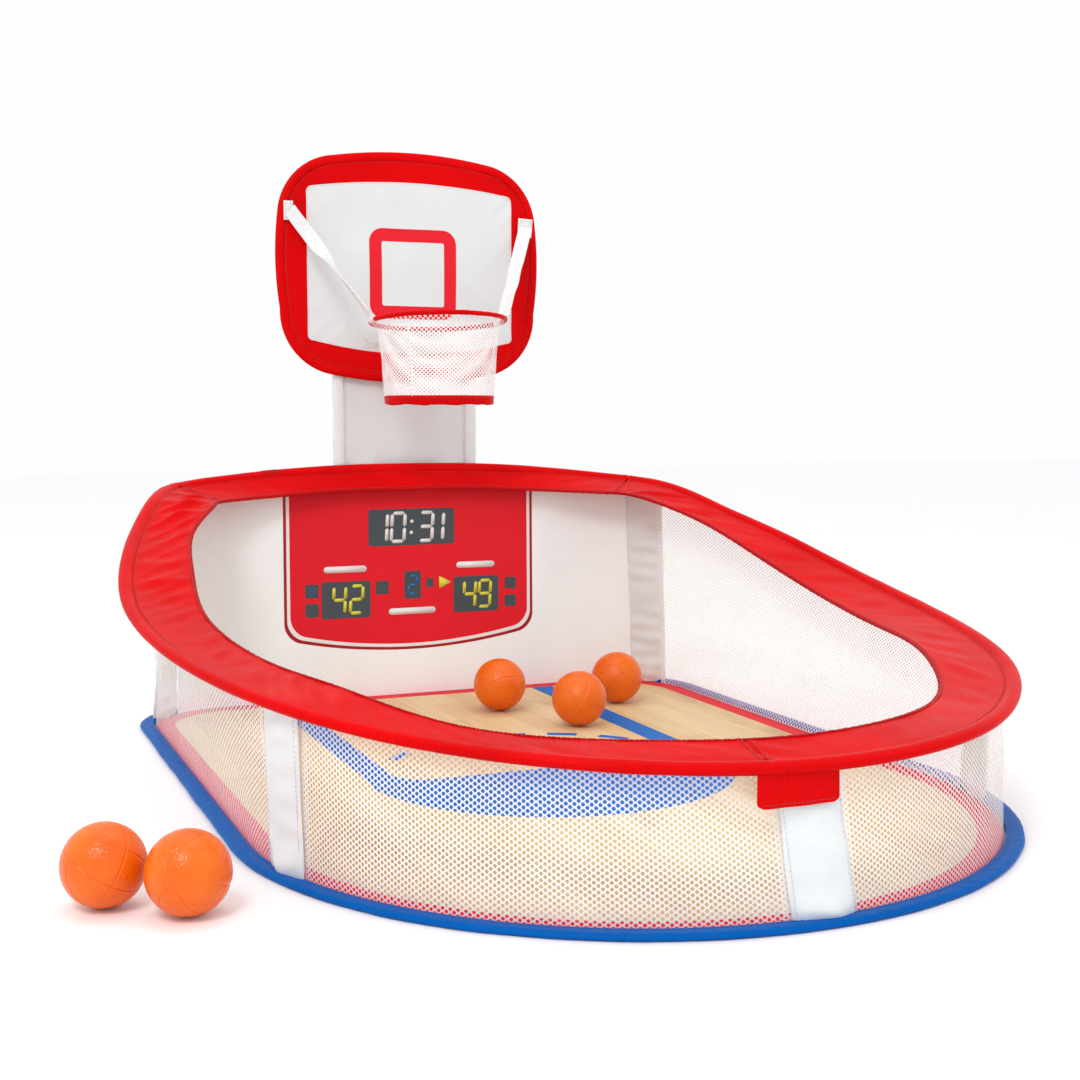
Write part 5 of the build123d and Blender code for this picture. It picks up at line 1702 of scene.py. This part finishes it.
def ball_relief(p):
    """Radial offset of the skin, mm: eight-panel seam lines and a pebble grain."""
    x, y, z = p[:, 0], p[:, 1], p[:, 2]
    g = np.minimum(np.abs(z), np.abs(x))
    curve = np.abs(np.abs(y) - (0.62 - 0.30 * (x * x)))
    g = np.minimum(g, curve)
    seam = -0.6 * np.exp(-(g / 0.016) ** 2)
    grain = 0.10 * ripple(181, 40, 2.2, 3.4, 3)(x * 35, y * 35, z * 35) * (1 - np.exp(-(g / 0.04) ** 2))
    return seam + grain


relief = ball_relief(sv)
for name, c in ball_at.items():
    rot = np.array(Euler(ball_turn[name]).to_matrix())
    V = (sv @ rot.T) * (35.0 + relief)[:, None] + np.array(c)
    outward(build(name + "_skin", V, [sq], M["ball"], name, [name]))

# ---------------------------------------------------------------------------
# materials on the CAD pieces that stay
# ---------------------------------------------------------------------------
for node, mat in (("base_hoop", "steel"), ("top_hoop", "steel"), ("board_hoop", "steel"), ("rim_hoop", "steel"),
                  ("wall_pole_front", "rod"), ("wall_pole_left", "rod"), ("wall_pole_right", "rod"),
                  ("wall_pole_rear_left", "rod"), ("wall_pole_rear_right", "rod"), ("pole_caps", "rubber"),
                  ("tower_poles_lower", "rod"), ("tower_poles_upper", "rod"), ("tower_ferrules", "alu")):
    me = frame["nodes"][node] if isinstance(frame, dict) and "nodes" in frame else bpy.data.objects[node]
    me = bpy.data.objects[node].data
    me.materials.clear()
    me.materials.append(M[mat])
    for p in me.polygons:
        p.material_index = 0
        p.use_smooth = True

# ---------------------------------------------------------------------------
# stage, camera, light
# ---------------------------------------------------------------------------
def floor_material():
    n = Nodes("studio_floor")
    f = n.noise(n.obj, 3.0, 3, 0.5)
    return n.end(n.mix(n.ramp(f, 0.3, 0.7), lin((250, 250, 250), 1.0), lin((253, 253, 253), 1.0)),
                 n.ramp(f, 0.3, 0.7, 0.35, 0.5), **{"Specular IOR Level": 0.3})


size = 9000.0
V = np.array([(-size, -size, 0), (size, -size, 0), (size, size, 0), (-size, size, 0)], float)
floor = build("studio_floor", V, [np.array([[0, 1, 2, 3]])], floor_material(), None, smooth_shade=False)
floor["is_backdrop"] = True

cam_data = bpy.data.cameras.new("camera")
cam_data.lens = 50.477
cam_data.sensor_width = 36.0
cam_data.clip_start, cam_data.clip_end = 0.02, 60
cam = bpy.data.objects.new("camera", cam_data)
cam.location = (-0.65785, -1.53473, 0.40210)
cam.rotation_euler = (math.radians(90 - 4.784), 0.0, math.radians(-22.615))
bpy.context.scene.collection.objects.link(cam)
bpy.context.scene.camera = cam

world = bpy.data.worlds.new("studio")
bpy.context.scene.world = world
world.use_nodes = True
bg = world.node_tree.nodes["Background"]
bg.inputs[0].default_value = (0.99, 0.995, 1.0, 1.0)
bg.inputs[1].default_value = 1.0


def area_light(name, loc, look, size_x, size_y, power, color=(1, 1, 1)):
    d = bpy.data.lights.new(name, "AREA")
    d.shape, d.size, d.size_y, d.energy, d.color = "RECTANGLE", size_x, size_y, power, color
    o = bpy.data.objects.new(name, d)
    o.location = loc
    from mathutils import Vector
    o.rotation_euler = (Vector(look) - Vector(loc)).to_track_quat("-Z", "Y").to_euler()
    bpy.context.scene.collection.objects.link(o)
    return o


area_light("key_softbox", (-1.6, -1.9, 2.6), (0, 0.1, 0.25), 0.9, 0.9, 36)
area_light("fill_softbox", (2.0, -1.4, 2.2), (0, 0.1, 0.3), 1.3, 1.3, 5)
area_light("top_softbox", (0.0, 0.3, 2.9), (0, 0.1, 0.0), 1.4, 1.4, 9)
bpy.context.scene.view_settings.view_transform = "Standard"
bpy.context.scene.view_settings.exposure = 0.0

final_box = [list(map(float, c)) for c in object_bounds()]
